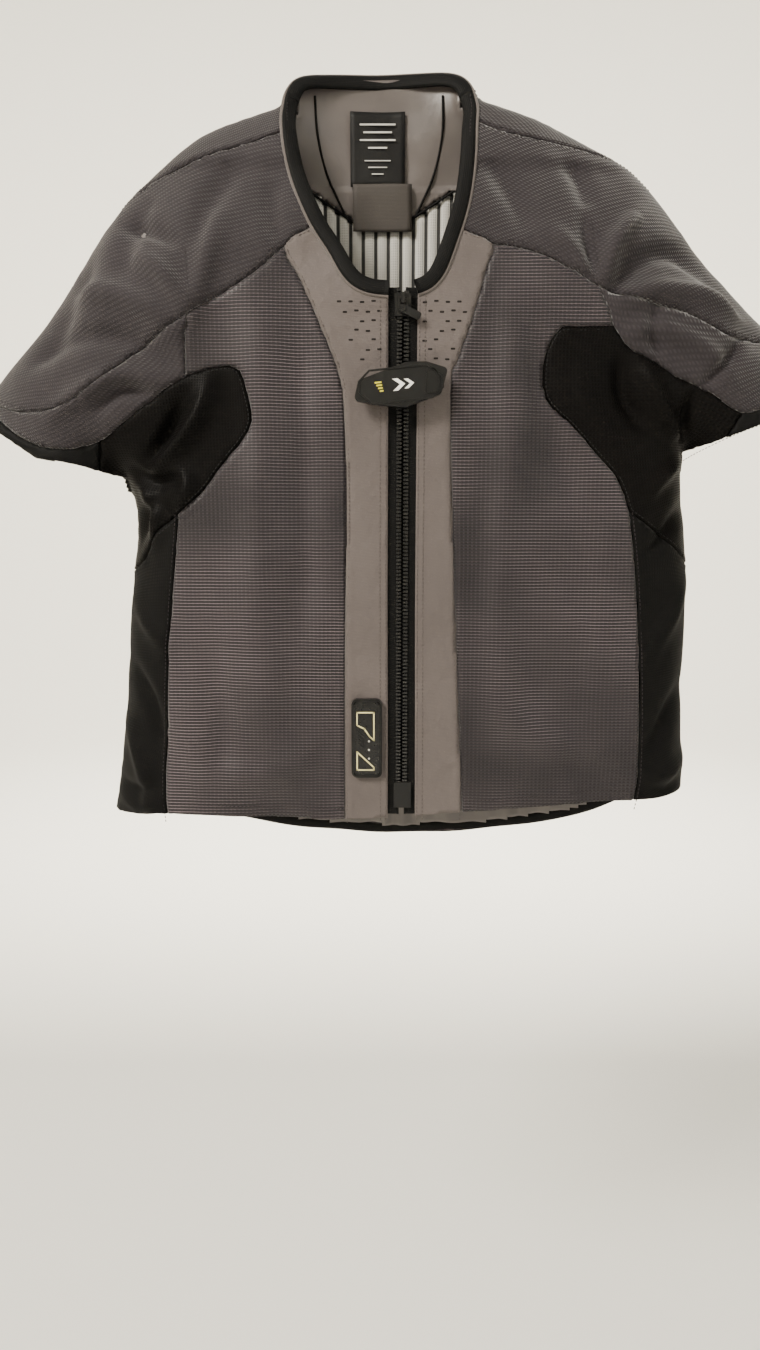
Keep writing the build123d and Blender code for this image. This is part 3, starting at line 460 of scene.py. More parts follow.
@dataclass(frozen=True)
class RibMesh:
    """Ribbed spacer mesh: pale ribs over a dark ground, the ribs running up the cloth."""

    name: str
    rib: tuple[float, float, float]
    ground: tuple[float, float, float]
    pitch: float
    share: float

    def build(self) -> bpy.types.Material:
        """Makes the material."""
        g = Graph(self.name)
        u, v = g.split(g.uv)
        phase = g.math("FRACT", g.math("ADD", g.math("DIVIDE", u, self.pitch), 100.0))
        edge = self.share / 2
        off = g.math("ABSOLUTE", g.math("SUBTRACT", phase, 0.5))
        on_rib = g.ramp(off, edge - 0.03, edge + 0.03, (1.0, 0.0))
        holes = g.math("MULTIPLY", g.wave(v, 0.0021), g.wave(u, 0.0018))
        pale = g.mix(g.ramp(holes, 0.35, 0.75), self.rib, shade(self.rib, 0.62))
        g.set(Base_Color=g.mix(on_rib, self.ground, pale), Roughness=0.75, Sheen_Weight=0.15)
        g.bump(holes, 0.4, 0.0006)
        return g.material


@dataclass(frozen=True)
class Moulded:
    """Moulded plastic or rubber with a fine grain and a cloudy shine."""

    name: str
    colour: tuple[float, float, float]
    roughness: float = 0.5
    grain: float = 0.15
    coat: float = 0.0
    specular: float = 0.28

    def build(self) -> bpy.types.Material:
        """Makes the material."""
        g = Graph(self.name)
        cloud = g.noise(60.0, 4.0)
        g.set(Base_Color=g.mix(g.ramp(cloud, 0.35, 0.7), shade(self.colour, 0.85), shade(self.colour, 1.25)),
              Roughness=g.ramp(g.noise(300.0, 3.0), 0.3, 0.7, (self.roughness - 0.06, self.roughness + 0.08)),
              Specular_IOR_Level=self.specular, Coat_Weight=self.coat, Coat_Roughness=0.2)
        g.bump(g.noise(2500.0, 2.0), self.grain, 0.0002)
        return g.material


@dataclass(frozen=True)
class Metal:
    """Plain, plated or lacquered metal."""

    name: str
    colour: tuple[float, float, float]
    roughness: float = 0.35
    metallic: float = 1.0

    def build(self) -> bpy.types.Material:
        """Makes the material."""
        g = Graph(self.name)
        scratch = g.noise(700.0, 4.0)
        g.set(Base_Color=g.mix(g.ramp(scratch, 0.6, 0.8), self.colour, shade(self.colour, 1.6)),
              Metallic=self.metallic,
              Roughness=g.ramp(scratch, 0.3, 0.7, (self.roughness, self.roughness + 0.12)))
        g.bump(scratch, 0.05, 0.0001)
        return g.material


class Finishes:
    """Every finish of the vest, each made when it is first asked for."""

    RECIPES: dict[str, object] = {
        "shoulder_weave": Cloth("shoulder_weave", (0.0265, 0.0212, 0.0250), pitch=0.0026, relief=0.9,
                                contrast=0.8),
        # The second colour of each net is the painted highlight on its threads.
        "body_mesh": NetCloth("body_mesh", (0.0125, 0.0098, 0.0122), (0.185, 0.148, 0.162)),
        "placket_weave": Cloth("placket_weave", (0.108, 0.091, 0.087), pitch=0.0009, slant=0.2, relief=0.3,
                               contrast=0.3, sheen=0.12, roughness=0.7, crumple=1.0),
        "stretch_black": Cloth("stretch_black", (0.0026, 0.0025, 0.0024), pitch=0.0014, slant=0.0, relief=0.5,
                               sheen=0.02, specular=0.12),
        # Second colour: the painted highlight on the threads.
        "net_black": NetCloth("net_black", (0.0018, 0.0015, 0.0014), (0.009, 0.007, 0.0055),
                              (0.0024, 0.0024), 0.6, 0.0, 0.08),
        "binding_black": Cloth("binding_black", (0.0035, 0.0035, 0.0035), pitch=0.0011, slant=0.0, relief=0.4,
                               sheen=0.01, roughness=0.65, specular=0.12),
        "piping_grey": Cloth("piping_grey", (0.115, 0.098, 0.092), pitch=0.0010, slant=0.6, relief=0.3),
        "lining_satin": Satin("lining_satin", (0.085, 0.073, 0.070)),
        "lining_mesh": RibMesh("lining_mesh", (0.52, 0.51, 0.48), (0.012, 0.012, 0.012), 0.0108, 0.72),
        "label_woven": Cloth("label_woven", (0.010, 0.010, 0.010), pitch=0.0006, slant=0.0, relief=0.2,
                             sheen=0.02, roughness=0.5, specular=0.15),
        "label_patch": Cloth("label_patch", (0.052, 0.045, 0.040), pitch=0.0008, slant=0.0, relief=0.3,
                             sheen=0.05, roughness=0.6),
        "label_print": Moulded("label_print", (0.50, 0.49, 0.46), 0.6),
        "zip_tape": Cloth("zip_tape", (0.0035, 0.0035, 0.0035), pitch=0.0012, slant=1.0, relief=0.6, sheen=0.03,
                          specular=0.15),
        "zip_plastic": Moulded("zip_plastic", (0.005, 0.005, 0.005), 0.36, specular=0.5),
        "slider_metal": Metal("slider_metal", (0.012, 0.012, 0.012), 0.3, 0.5),
        "puller_rubber": Moulded("puller_rubber", (0.005, 0.005, 0.005), 0.45),
        "flap_rubber": Moulded("flap_rubber", (0.0045, 0.0045, 0.0045), 0.42, 0.2),
        "emblem_white": Moulded("emblem_white", (0.75, 0.74, 0.70), 0.45),
        "accent_yellow": Moulded("accent_yellow", (0.60, 0.54, 0.05), 0.5),
        "display_shell": Moulded("display_shell", (0.005, 0.005, 0.005), 0.5),
        "display_gloss": Moulded("display_gloss", (0.004, 0.004, 0.004), 0.3, 0.02, 0.15),
        "display_print": Moulded("display_print", (0.66, 0.60, 0.30), 0.5),
        "display_light": Moulded("display_light", (0.45, 0.44, 0.40), 0.25, 0.02, 0.6),
        "thread_dark": Moulded("thread_dark", (0.020, 0.016, 0.018), 0.75),
        "thread_grey": Moulded("thread_grey", (0.080, 0.068, 0.063), 0.75),
        "thread_black": Moulded("thread_black", (0.010, 0.010, 0.010), 0.7),
        # Placket slots: the dark colour is painted shade inside the holes.
        "painted_hole_shade": Moulded("painted_hole_shade", (0.010, 0.008, 0.008), 0.9),
        "hard_plastic": Moulded("hard_plastic", (0.02, 0.02, 0.022), 0.5),
        "circuit_board": Moulded("circuit_board", (0.015, 0.12, 0.05), 0.4),
        "magnet": Metal("magnet", (0.5, 0.5, 0.5), 0.25),
        "screw_steel": Metal("screw_steel", (0.5, 0.5, 0.52), 0.3),
        "battery_wrap": Moulded("battery_wrap", (0.06, 0.1, 0.22), 0.35),
        "inflator_aluminium": Metal("inflator_aluminium", (0.6, 0.6, 0.62), 0.35),
        "ribbon_cable": Moulded("ribbon_cable", (0.03, 0.03, 0.03), 0.5),
        "airbag_cloth": Cloth("airbag_cloth", (0.25, 0.25, 0.24), pitch=0.0009, slant=0.0, relief=0.3,
                              sheen=0.1),
        "foam": Moulded("foam", (0.05, 0.05, 0.055), 0.85, 0.6),
    }

    def __init__(self) -> None:
        """Starts with no finish made."""
        self._made: dict[str, bpy.types.Material] = {}

    def get(self, name: str) -> bpy.types.Material:
        """The material of that name."""
        if name not in self._made:
            self._made[name] = self.RECIPES[name].build()
        return self._made[name]


FINISH = Finishes()


# ------------------------------------------------------------------ mesh helpers
def make_object(name: str, points: Iterable, faces: Iterable, finish: str,
                smooth: bool = True) -> bpy.types.Object:
    """Makes a mesh object from points in metres.

    Args:
        name: Object name.
        points: Vertex places.
        faces: Faces as lists of vertex numbers.
        finish: Name of the finish.
        smooth: Whether the faces are shaded smooth.

    Returns:
        The new object.
    """
    mesh = bpy.data.meshes.new(name)
    mesh.from_pydata([tuple(map(float, p)) for p in points], [], [tuple(map(int, f)) for f in faces])
    mesh.update()
    mesh.polygons.foreach_set("use_smooth", [smooth] * len(mesh.polygons))
    obj = bpy.data.objects.new(name, mesh)
    bpy.context.scene.collection.objects.link(obj)
    mesh.materials.append(FINISH.get(finish))
    return obj


@dataclass
class Solids:
    """Collects many small solids into one mesh."""

    points: list = field(default_factory=list)
    faces: list = field(default_factory=list)

    def add(self, points: Iterable, faces: Iterable) -> None:
        """Adds one solid with its own vertex numbers."""
        start = len(self.points)
        self.points.extend(points)
        self.faces.extend([[start + k for k in face] for face in faces])

    def prism(self, outline: np.ndarray, axes: tuple[Vector, Vector, Vector], origin: Vector,
              heights: Sequence[tuple[float, float]]) -> None:
        """A stack of outlines at rising heights, closed at both ends.

        Args:
            outline: Points in the plane of the first two axes.
            axes: The two axes of the plane and the one along which it rises.
            origin: Where the outline's own origin goes.
            heights: Pairs of height and inset from the outline's middle as a factor.
        """
        count = len(outline)
        points = []
        for height, factor in heights:
            for a, b in outline:
                points.append(origin + axes[0] * (a * factor) + axes[1] * (b * factor) + axes[2] * height)
        faces = [list(range(count))[::-1], [count * (len(heights) - 1) + k for k in range(count)]]
        for row in range(len(heights) - 1):
            for k in range(count):
                n = (k + 1) % count
                faces.append([row * count + k, row * count + n, (row + 1) * count + n, (row + 1) * count + k])
        self.add(points, faces)

    def make(self, name: str, finish: str, smooth: bool = True) -> bpy.types.Object:
        """Turns what was collected into an object."""
        return make_object(name, self.points, self.faces, finish, smooth)


def sweep(path: np.ndarray, inward: np.ndarray, profile: Sequence[Point], closed: bool = False
          ) -> tuple[list, list, list]:
    """Sweeps a closed profile along a path in space.

    Args:
        path: Points of the path, in metres.
        inward: A direction for each point; the profile's first axis follows it.
        profile: Points as (along the inward direction, along the third direction), in metres.
        closed: Whether the path is a loop.

    Returns:
        Points, faces and the flat coordinates of each point.
    """
    n, m = len(path), len(profile)
    if closed:
        tangents = np.roll(path, -1, axis=0) - np.roll(path, 1, axis=0)
    else:
        tangents = np.gradient(path, axis=0)
    tangents /= np.linalg.norm(tangents, axis=1)[:, None]
    first = inward - (inward * tangents).sum(1)[:, None] * tangents
    first /= np.linalg.norm(first, axis=1)[:, None]
    third = np.cross(tangents, first)
    run = np.concatenate([[0], np.cumsum(np.linalg.norm(np.diff(path, axis=0), axis=1))])
    girth = np.concatenate([[0], np.cumsum(np.linalg.norm(np.diff(np.array(profile), axis=0), axis=1))])
    points, flat = [], []
    for k in range(n):
        for j, (a, b) in enumerate(profile):
            points.append(path[k] + first[k] * a + third[k] * b)
            flat.append((run[k], girth[j]))
    faces = []
    for k in range(n if closed else n - 1):
        q = (k + 1) % n
        for j in range(m):
            w = (j + 1) % m
            faces.append([k * m + j, k * m + w, q * m + w, q * m + j])
    if not closed:
        faces.append(list(range(m)))
        faces.append([(n - 1) * m + j for j in range(m)][::-1])
    return points, faces, flat


def set_uv(obj: bpy.types.Object, flat: Sequence[Point]) -> None:
    """Gives each vertex its flat coordinates, in metres."""
    layer = obj.data.uv_layers.new(name="UVMap")
    corners = np.empty(len(obj.data.loops), int)
    obj.data.loops.foreach_get("vertex_index", corners)
    layer.data.foreach_set("uv", np.array(flat, float)[corners].ravel())


def rounded(width: float, height: float, radius: float, steps: int = 5) -> np.ndarray:
    """A rounded rectangle about the origin."""
    made = []
    for cx, cz, start in ((1, 1, 0), (-1, 1, 90), (-1, -1, 180), (1, -1, 270)):
        for k in range(steps + 1):
            a = math.radians(start + 90 * k / steps)
            made.append((cx * (width / 2 - radius) + radius * math.cos(a),
                         cz * (height / 2 - radius) + radius * math.sin(a)))
    return np.array(made)


# ------------------------------------------------------------------ the garment's form
@dataclass(frozen=True)
class Fold:
    """One soft fold or hollow in the cloth.

    Attributes:
        points: The fold's line, in millimetres (x, z).
        width: Half width of its flank.
        height: How far it stands out; negative for a hollow.
        side: Face of the garment it lies on.
    """

    points: Line
    width: float
    height: float
    side: Side = Side.FRONT

    def lift(self, places: np.ndarray) -> np.ndarray:
        """How far each place (x, z) is lifted by this fold."""
        line = smooth_line(on_frame(self.points), 8.0)
        best = np.full(len(places), 1e9)
        run = np.zeros(len(places))
        total, length = 0.0, float(np.linalg.norm(np.diff(line, axis=0), axis=1).sum())
        for a, b in zip(line[:-1], line[1:]):
            along = b - a
            reach = float(np.linalg.norm(along))
            t = np.clip(((places - a) @ along) / max(reach ** 2, 1e-9), 0, 1)
            off = np.linalg.norm(places - (a + t[:, None] * along), axis=1)
            near = off < best
            best[near] = off[near]
            run[near] = (total + t * reach)[near] / length
            total += reach
        fade = np.sin(math.pi * np.clip(run, 0.02, 0.98)) ** 0.6
        return 2.2 * self.height * np.exp(-(best / (0.8 * self.width)) ** 2) * fade


FOLDS: list[Fold] = [
    Fold([(-173, -127), (-200, -110), (-232, -100)], 9, -3.5),
    Fold([(-168, -178), (-186, -150), (-214, -128)], 10, 4.0),
    Fold([(-172, -190), (-160, -160), (-150, -120), (-146, -90)], 11, 3.2),
    Fold([(-170, -200), (-196, -176), (-236, -160), (-280, -170)], 12, 4.0),
    Fold([(-176, -222), (-215, -198), (-262, -196), (-310, -212)], 11, -3.2),
    Fold([(-180, -232), (-222, -224), (-258, -238), (-292, -262)], 10, 3.4),
    Fold([(-196, -240), (-226, -236), (-250, -256)], 6, -2.8),
    Fold([(-130, -60), (-150, -90), (-163, -130)], 13, -3.0),
    Fold([(-205, -78), (-215, -110), (-222, -150)], 13, -2.8),
    Fold([(-250, -120), (-262, -160), (-300, -215)], 14, -3.2),
    Fold([(-152, -226), (-168, -262), (-206, -300)], 8, 4.2),
    Fold([(-172, -240), (-194, -276), (-216, -296)], 7, -5.0),
    Fold([(-186, -292), (-172, -310), (-184, -330)], 7, 3.4),
    Fold([(-228, -296), (-200, -308), (-176, -300)], 7, -4.0),
    Fold([(-218, -306), (-204, -332), (-206, -362)], 8, 3.6),
    Fold([(-198, -318), (-216, -340), (-226, -366)], 6, -3.0),
    Fold([(-232, -400), (-205, -430), (-190, -452)], 10, 3.0),
    Fold([(-236, -452), (-212, -486), (-204, -530)], 9, -3.0),
    Fold([(-245, -500), (-222, -540), (-214, -585)], 9, 3.2),
    Fold([(-252, -560), (-228, -566), (-204, -560)], 6, -2.4),
    Fold([(-250, -575), (-226, -582), (-202, -576)], 6, 2.0),
    Fold([(145, -96), (140, -70), (128, -50)], 10, -3.0),
    Fold([(152, -158), (134, -132), (116, -112)], 8, 2.8),
    Fold([(156, -160), (164, -128), (186, -98)], 9, 5.0),
    Fold([(160, -164), (184, -138), (214, -128), (246, -142)], 11, -4.0),
    Fold([(162, -172), (196, -160), (240, -164), (290, -186)], 10, 4.0),
    Fold([(150, -154), (146, -130), (140, -100)], 5, -3.0),
    Fold([(172, -196), (200, -188), (238, -204), (262, -226)], 9, 3.5),
    Fold([(199, -172), (196, -190), (206, -212)], 6, -3.5),
    Fold([(238, -235), (256, -214), (272, -196)], 6, -3.5),
    Fold([(222, -110), (252, -150), (296, -200)], 13, -3.0),
    Fold([(172, -206), (176, -240), (200, -270)], 8, -5.0),
    Fold([(190, -214), (206, -246), (226, -272)], 8, 4.5),
    Fold([(232, -236), (228, -256), (234, -274)], 5, -4.5),
    Fold([(140, -206), (150, -250), (190, -300)], 12, 2.6),
    Fold([(236, -286), (214, -300), (196, -322)], 8, 3.6),
    Fold([(240, -320), (216, -350), (200, -366)], 8, -3.2),
    Fold([(246, -380), (222, -420), (206, -450)], 10, 3.0),
    Fold([(249, -470), (226, -500), (208, -540)], 10, -3.0),
    Fold([(250, -540), (226, -552), (206, -548)], 7, 2.6),
    Fold([(250, -558), (230, -566), (206, -564)], 6, -2.2),
    Fold([(-120, -160), (-112, -260), (-118, -380), (-110, -520)], 20, 2.6),
    Fold([(-86, -180), (-78, -300), (-84, -460)], 14, -2.2),
    Fold([(-160, -420), (-150, -500), (-156, -575)], 16, -2.4),
    Fold([(80, -150), (88, -260), (80, -400), (90, -520)], 18, 2.6),
    Fold([(104, -170), (112, -240), (140, -330)], 14, -2.8),
    Fold([(150, -380), (146, -470), (156, -560)], 18, -2.4),
    Fold([(70, -480), (120, -520), (176, -530)], 14, 2.0),
    Fold([(-62, -520), (-110, -548), (-170, -546)], 14, 1.8),
    Fold([(-86, -140), (-100, -110), (-104, -70)], 10, -2.4),
    Fold([(64, -50), (86, -84), (100, -118)], 12, -2.6),
    Fold([(-170, -60), (-150, -180), (-160, -330)], 22, 4.5, Side.BACK),
    Fold([(140, -60), (150, -180), (140, -330)], 22, 4.5, Side.BACK),
    Fold([(-190, -230), (-150, -290), (-120, -380)], 15, -3.5, Side.BACK),
    Fold([(180, -220), (150, -290), (124, -380)], 15, -3.5, Side.BACK),
    Fold([(-60, -190), (-54, -380), (-70, -600)], 20, -2.5, Side.BACK),
    Fold([(64, -190), (50, -380), (72, -600)], 20, -2.5, Side.BACK),
    Fold([(-180, -420), (-120, -480), (-60, -500)], 16, 3.0, Side.BACK),
    Fold([(180, -430), (110, -500), (40, -520)], 16, 3.0, Side.BACK),
    Fold([(-210, -240), (-250, -210), (-300, -210)], 11, 4.0, Side.BACK),
    Fold([(200, -230), (250, -200), (300, -205)], 11, 4.0, Side.BACK),
    Fold([(-200, -150), (-240, -140), (-280, -170)], 12, -3.5, Side.BACK),
    Fold([(186, -130), (230, -130), (270, -160)], 12, -3.5, Side.BACK),
]


@dataclass
class Pillow:
    """A closed form that swells from the garment's outline to its full depth.

    Attributes:
        inset: How far the form lies inside the outer cloth, in millimetres.
        front: Depth of the front from the middle plane, by height.
        back: Depth of the back from the middle plane, by height.
        pitch: Spacing of the grid.
    """

    inset: float = 0.0
    front: Line = ((-680, 62), (-165, 62), (-120, 56), (-80, 45), (-40, 34), (0, 22), (60, 18))
    back: Line = ((-680, 62), (-130, 62), (-80, 56), (-40, 48), (0, 36), (28, 26), (60, 24))
    pitch: float = 5.0

    def outline(self) -> np.ndarray:
        """The form's closed outline, carried past the neck, cuffs and hem."""
        left, right = smooth_line(TOP[Hand.LEFT]), smooth_line(TOP[Hand.RIGHT])
        left_flank, right_flank = smooth_line(FLANK[Hand.LEFT]), smooth_line(FLANK[Hand.RIGHT])
        return joined([(-97, 32), (-60, 42), (20, 42), (59, 34)], right, [(361, -249), (244, -297)],
                      right_flank,
                      [(256, -660), (-260, -660)], left_flank[::-1], [(-241, -317), (-362, -254)], left[::-1])

    def edges(self) -> list[np.ndarray]:
        """The parts of the outline where front and back meet."""
        made = []
        for hand, sign in ((Hand.LEFT, -1), (Hand.RIGHT, 1)):
            top, flank = smooth_line(TOP[hand]), smooth_line(FLANK[hand])
            over = (np.array([sign * 12, -14]), np.array([sign * 7, -16]))
            made.append(joined(top, [top[-1] + over[0]]))
            made.append(joined([flank[0] + over[1]], flank, [flank[-1] + np.array([sign * 4, -80])]))
        return made

    def depth(self, places: np.ndarray, side: Side) -> np.ndarray:
        """Distance of the surface from the middle plane."""
        off = np.full(len(places), 1e9)
        for edge in self.edges():
            off = np.minimum(off, line_distance(places, edge))
        off = np.clip(off - self.inset, 0, None)
        x, z = places[:, 0], places[:, 1]
        radius = np.interp(np.abs(x), [0, 150, 230, 400], [96, 96, 60, 56])
        radius = np.where(z > -60, np.minimum(radius, 64), radius)
        share = np.clip(off / radius, 0, 1)
        swell = np.sqrt(np.clip(1 - (1 - share) ** 2, 0, 1))
        levels = np.array(self.front if side is Side.FRONT else self.back)
        full = np.interp(z, levels[:, 0], levels[:, 1])
        sleeve = np.interp(np.abs(x), [200, 350], [1.0, 0.76])
        return full * sleeve * swell

    def solid(self) -> tuple[np.ndarray, list]:
        """The closed form's points in millimetres and its faces."""
        outline = self.outline()
        xs = np.arange(-375, 376, self.pitch)
        zs = np.arange(-665, 51, self.pitch)
        grid = np.array([(x, z) for z in zs for x in xs])
        held = inside(grid, outline).astype(int)
        wide = len(xs)
        cells = []
        for row in range(len(zs) - 1):
            for col in range(wide - 1):
                k = row * wide + col
                if held[k] + held[k + 1] + held[k + wide] + held[k + wide + 1] >= 2:
                    cells.append((k, k + 1, k + wide + 1, k + wide))
        used = sorted({k for cell in cells for k in cell})
        number = {k: i for i, k in enumerate(used)}
        flat = grid[used]
        loose = held[used] == 0
        ring = even_line(np.vstack([outline, outline[:1]]), 1.5)
        for i in np.nonzero(loose)[0]:
            flat[i] = ring[np.argmin(((ring - flat[i]) ** 2).sum(1))]
        count = len(flat)
        front = MIDDLE_Y - self.depth(flat, Side.FRONT)
        back = MIDDLE_Y + self.depth(flat, Side.BACK)
        points = np.vstack([np.column_stack([flat[:, 0], front, flat[:, 1]]),
                            np.column_stack([flat[:, 0], back, flat[:, 1]])])
        faces, rim = [], {}
        for cell in cells:
            a = [number[k] for k in cell]
            faces.append(a)
            faces.append([k + count for k in a[::-1]])
            for p, q in zip(a, a[1:] + a[:1]):
                rim[(p, q)] = True
        for p, q in list(rim):
            if (q, p) not in rim:
                faces.append([q, p, p + count, q + count])
        return points, faces


class Garment:
    """The outer cloth: one form, cut along the seams into its panels."""

    VOXEL = 3.9

    def __init__(self) -> None:
        """Makes the form and dresses its surface."""
        self.pillow = Pillow()
        self.panels: dict[str, bpy.types.Object] = {}
        self.form = self._form()
        self._dress_form()
        self.tree = BVHTree.FromPolygons([v.co.copy() for v in self.form.data.vertices],
                                         [list(p.vertices) for p in self.form.data.polygons])

    def _form(self) -> bpy.types.Object:
        """The closed form, remeshed evenly."""
        points, faces = self.pillow.solid()
        form = make_object("garment_form", points * MM, faces, "shoulder_weave")
        remesh = form.modifiers.new("even", "REMESH")
        remesh.mode = "VOXEL"
        remesh.voxel_size = self.VOXEL * MM
        graph = bpy.context.evaluated_depsgraph_get()
        mesh = bpy.data.meshes.new_from_object(form.evaluated_get(graph))
        form.modifiers.clear()
        form.data = mesh
        return form

    def _dress_form(self) -> None:
        """Smooths the form and lays the folds on it."""
        mesh = self.form.data
        count = len(mesh.vertices)
        at = np.empty(count * 3)
        mesh.vertices.foreach_get("co", at)
        at = at.reshape(-1, 3) * 1000
        ends = np.empty(len(mesh.edges) * 2, int)
        mesh.edges.foreach_get("vertices", ends)
        ends = ends.reshape(-1, 2)
        degree = np.bincount(ends.ravel(), minlength=count).astype(float)
        for amount in (0.5, -0.52) * 5 + (0.4,):
            total = np.zeros_like(at)
            for k in range(3):
                total[:, k] = (np.bincount(ends[:, 0], at[ends[:, 1], k], count)
                               + np.bincount(ends[:, 1], at[ends[:, 0], k], count))
            at += amount * (total / degree[:, None] - at)
        mesh.vertices.foreach_set("co", (at * MM).ravel())
        mesh.update()
        normal = np.empty(count * 3)
        mesh.vertices.foreach_get("normal", normal)
        normal = normal.reshape(-1, 3)
        flat = at[:, [0, 2]]
        front = at[:, 1] < MIDDLE_Y
        lift = np.zeros(count)
        for fold in FOLDS:
            on = front if fold.side is Side.FRONT else ~front
            lift[on] += fold.lift(flat[on])
        lift += self._drape(at)
        rim = np.full(count, 1e9)
        for edge in self.pillow.edges():
            rim = np.minimum(rim, line_distance(flat, edge))
        lift *= 0.25 + 0.75 * np.clip(rim / 22, 0, 1)
        lift *= self._calm(flat, front)
        at += normal * lift[:, None]
        mesh.vertices.foreach_set("co", (at * MM).ravel())
        mesh.update()

    @staticmethod
    def _calm(flat: np.ndarray, front: np.ndarray) -> np.ndarray:
        """Keeps the cloth quiet where the zip, flap and display sit on it."""
        near = np.clip((np.abs(flat[:, 0]) - 44) / 30, 0, 1)
        lower = np.clip((-flat[:, 1] - 120) / 60, 0, 1)
        return np.where(front, 1 - lower * (1 - near), 1.0)

    @staticmethod
    def _drape(at: np.ndarray) -> np.ndarray:
        """Slow unevenness of the hanging cloth, in millimetres."""
        x, y, z = at.T
        made = 1.5 * np.sin(x / 23 + np.sin(z / 71) * 1.7) * np.sin(z / 97 + x / 160)
        made += 0.9 * np.sin(x / 11.3 + z / 61 + 2 * np.sin(z / 43))
        made += 0.8 * np.sin(z / 13.7 + np.sin(x / 29) * 2.2) * np.sin(x / 37 + 1)
        hem = np.clip((-z - 520) / 80, 0, 1)
        return made + hem * 1.6 * np.sin(x / 15.5 + 0.8 * np.sin(x / 60))

    def on_surface(self, place: Point, side: Side = Side.FRONT) -> tuple[Vector, Vector]:
        """The point of the cloth over a place (x, z) in millimetres, and its outward normal, in metres."""
        start = Vector((place[0] * MM, side.value * 0.4, place[1] * MM))
        hit, normal, _, _ = self.tree.ray_cast(start, Vector((0, -side.value, 0)))
        if hit is None:
            hit, normal, _, _ = self.tree.find_nearest(Vector((place[0] * MM, MIDDLE_Y * MM, place[1] * MM)))
        if normal.y * side.value < 0:
            normal = -normal
        return hit, normal

    # -------------------------------------------------------------- cutting
    def seams(self) -> list[tuple[Side, np.ndarray]]:
        """Every line along which the form is cut."""
        both = [(Side.FRONT, table[hand]) for table in
                (CUFF_FRONT, NECK_FRONT, ZIP_EDGE, PLACKET, YOKE, ARMHOLE, DART, GREY_EDGE, PATCH, NET_EDGE,
                 SIDE_SEAM, SHOULDER_SEAM) for hand in Hand]
        both += [(Side.BACK, table[hand]) for table in (CUFF_BACK, SHOULDER_BACK, ARMHOLE_BACK, SIDE_BACK)
                 for hand in Hand]
        both += [(Side.FRONT, HEM_FRONT), (Side.BACK, HEM_BACK), (Side.BACK, NECK_TRIM), (Side.BACK, BACK_YOKE)]
        both += [(Side.FRONT, self._band_line(hand)) for hand in Hand]
        both += [(Side.BACK, self._band_back(hand)) for hand in Hand]
        return [(side, smooth_line(line)) for side, line in both]

    @staticmethod
    def _band_line(hand: Hand) -> Line:
        """Where the cuff band ends and the net begins."""
        return [(-246, -275), (-250, -300)] if hand is Hand.LEFT else [(273, -253), (262, -274)]

    @staticmethod
    def _band_back(hand: Hand) -> Line:
        """The inner edge of the cuff band on the back."""
        return [(x + (4 if x < 0 else -4), z + 11) for x, z in CUFF_BACK[hand]]

    def _classify(self, flat: np.ndarray, front: np.ndarray) -> np.ndarray:
        """Names the panel of each face, by its middle."""
        names = np.full(len(flat), "", dtype=object)

        def claim(name: str, outline: np.ndarray, side: np.ndarray) -> None:
            """Gives the unnamed faces inside an outline to a panel."""
            hit = side & (names == "") & inside(flat, outline)
            names[hit] = name

        left, right = Hand.LEFT, Hand.RIGHT
        s = smooth_line
        above = [(70, 4), (70, 90), (-108, 90), (-108, 0)]
        claim("gone", joined(s(NECK_FRONT[left]), s(NECK_FRONT[right])[::-1], above), front)
        claim("gone", joined(s(HEM_FRONT), [(400, -571), (400, -700), (-400, -700), (-400, -592)]), front)
        claim("gone", joined(s(ZIP_EDGE[left]), s(ZIP_EDGE[right])[::-1]), front)
        claim("gone", joined(s(HEM_BACK), [(400, -571), (400, -700), (-400, -700), (-400, -592)]), ~front)
        claim("gone", joined(s(NECK_TRIM), above), ~front)
        for hand, sign in ((left, -1), (right, 1)):
            tag = "_" + hand.value
            corner = TOP[hand][-1]
            pit = FLANK[hand][0]
            beyond = [(pit[0] + sign * 2, pit[1] - 24), (sign * 400, pit[1] - 40), (sign * 400, corner[1] - 2)]
            claim("gone", joined(s(CUFF_FRONT[hand]), beyond), front)
            claim("gone", joined(s(CUFF_BACK[hand]), beyond), ~front)
            claim("placket" + tag, joined(s(PLACKET[hand]), s(ZIP_EDGE[hand])[::-1],
                                          s(NECK_FRONT[hand])[::-1][:14]), front)
            grey = s(GREY_EDGE[hand])
            split = self._band_line(hand)
            near = int(np.argmin(np.linalg.norm(grey - np.array(split[0]), axis=1)))
            claim("cuff_band" + tag, joined(grey[near:], [(sign * 400, grey[-1][1]), (sign * 400, -330),
                                                         (sign * 256, -330), split[1]]), front)
            claim("underarm_panel" + tag, joined(s(PATCH[hand]), s(NET_EDGE[hand]),
                                                [(sign * 262, NET_EDGE[hand][-1][1]), (sign * 262, pit[1] - 20),
                                                 split[1]], grey[:near + 1][::-1]), front)
            claim("side_panel" + tag, joined(s(SIDE_SEAM[hand]), [(sign * 300, -640), (sign * 300, -372)],
                                             s(NET_EDGE[hand])[::-1]), front)
            top = s(SHOULDER_SEAM[hand])
            claim("saddle" + tag, joined(top, [(sign * 260, 60), (-97 if sign < 0 else 59, 60)]), front)
            claim("shoulder_panel" + tag, joined(s(YOKE[hand]), [(sign * 420, YOKE[hand][-1][1]), (sign * 420, 80),
                                                                (-20, 80), (-20, -110)]), front)
            claim("sleeve_panel" + tag, joined(s(ARMHOLE[hand]), grey, [(sign * 420, grey[-1][1]),
                                                                       (sign * 420, -120), ARMHOLE[hand][0]]), front)
            claim("front_panel" + tag, np.array([(0, 60), (sign * 420, 60), (sign * 420, -700), (0, -700)], float),
                  front)
            claim("saddle" + tag, joined(s(SHOULDER_BACK[hand]), [(sign * 250, 60), (-97 if sign < 0 else 59, 60)]),
                  ~front)
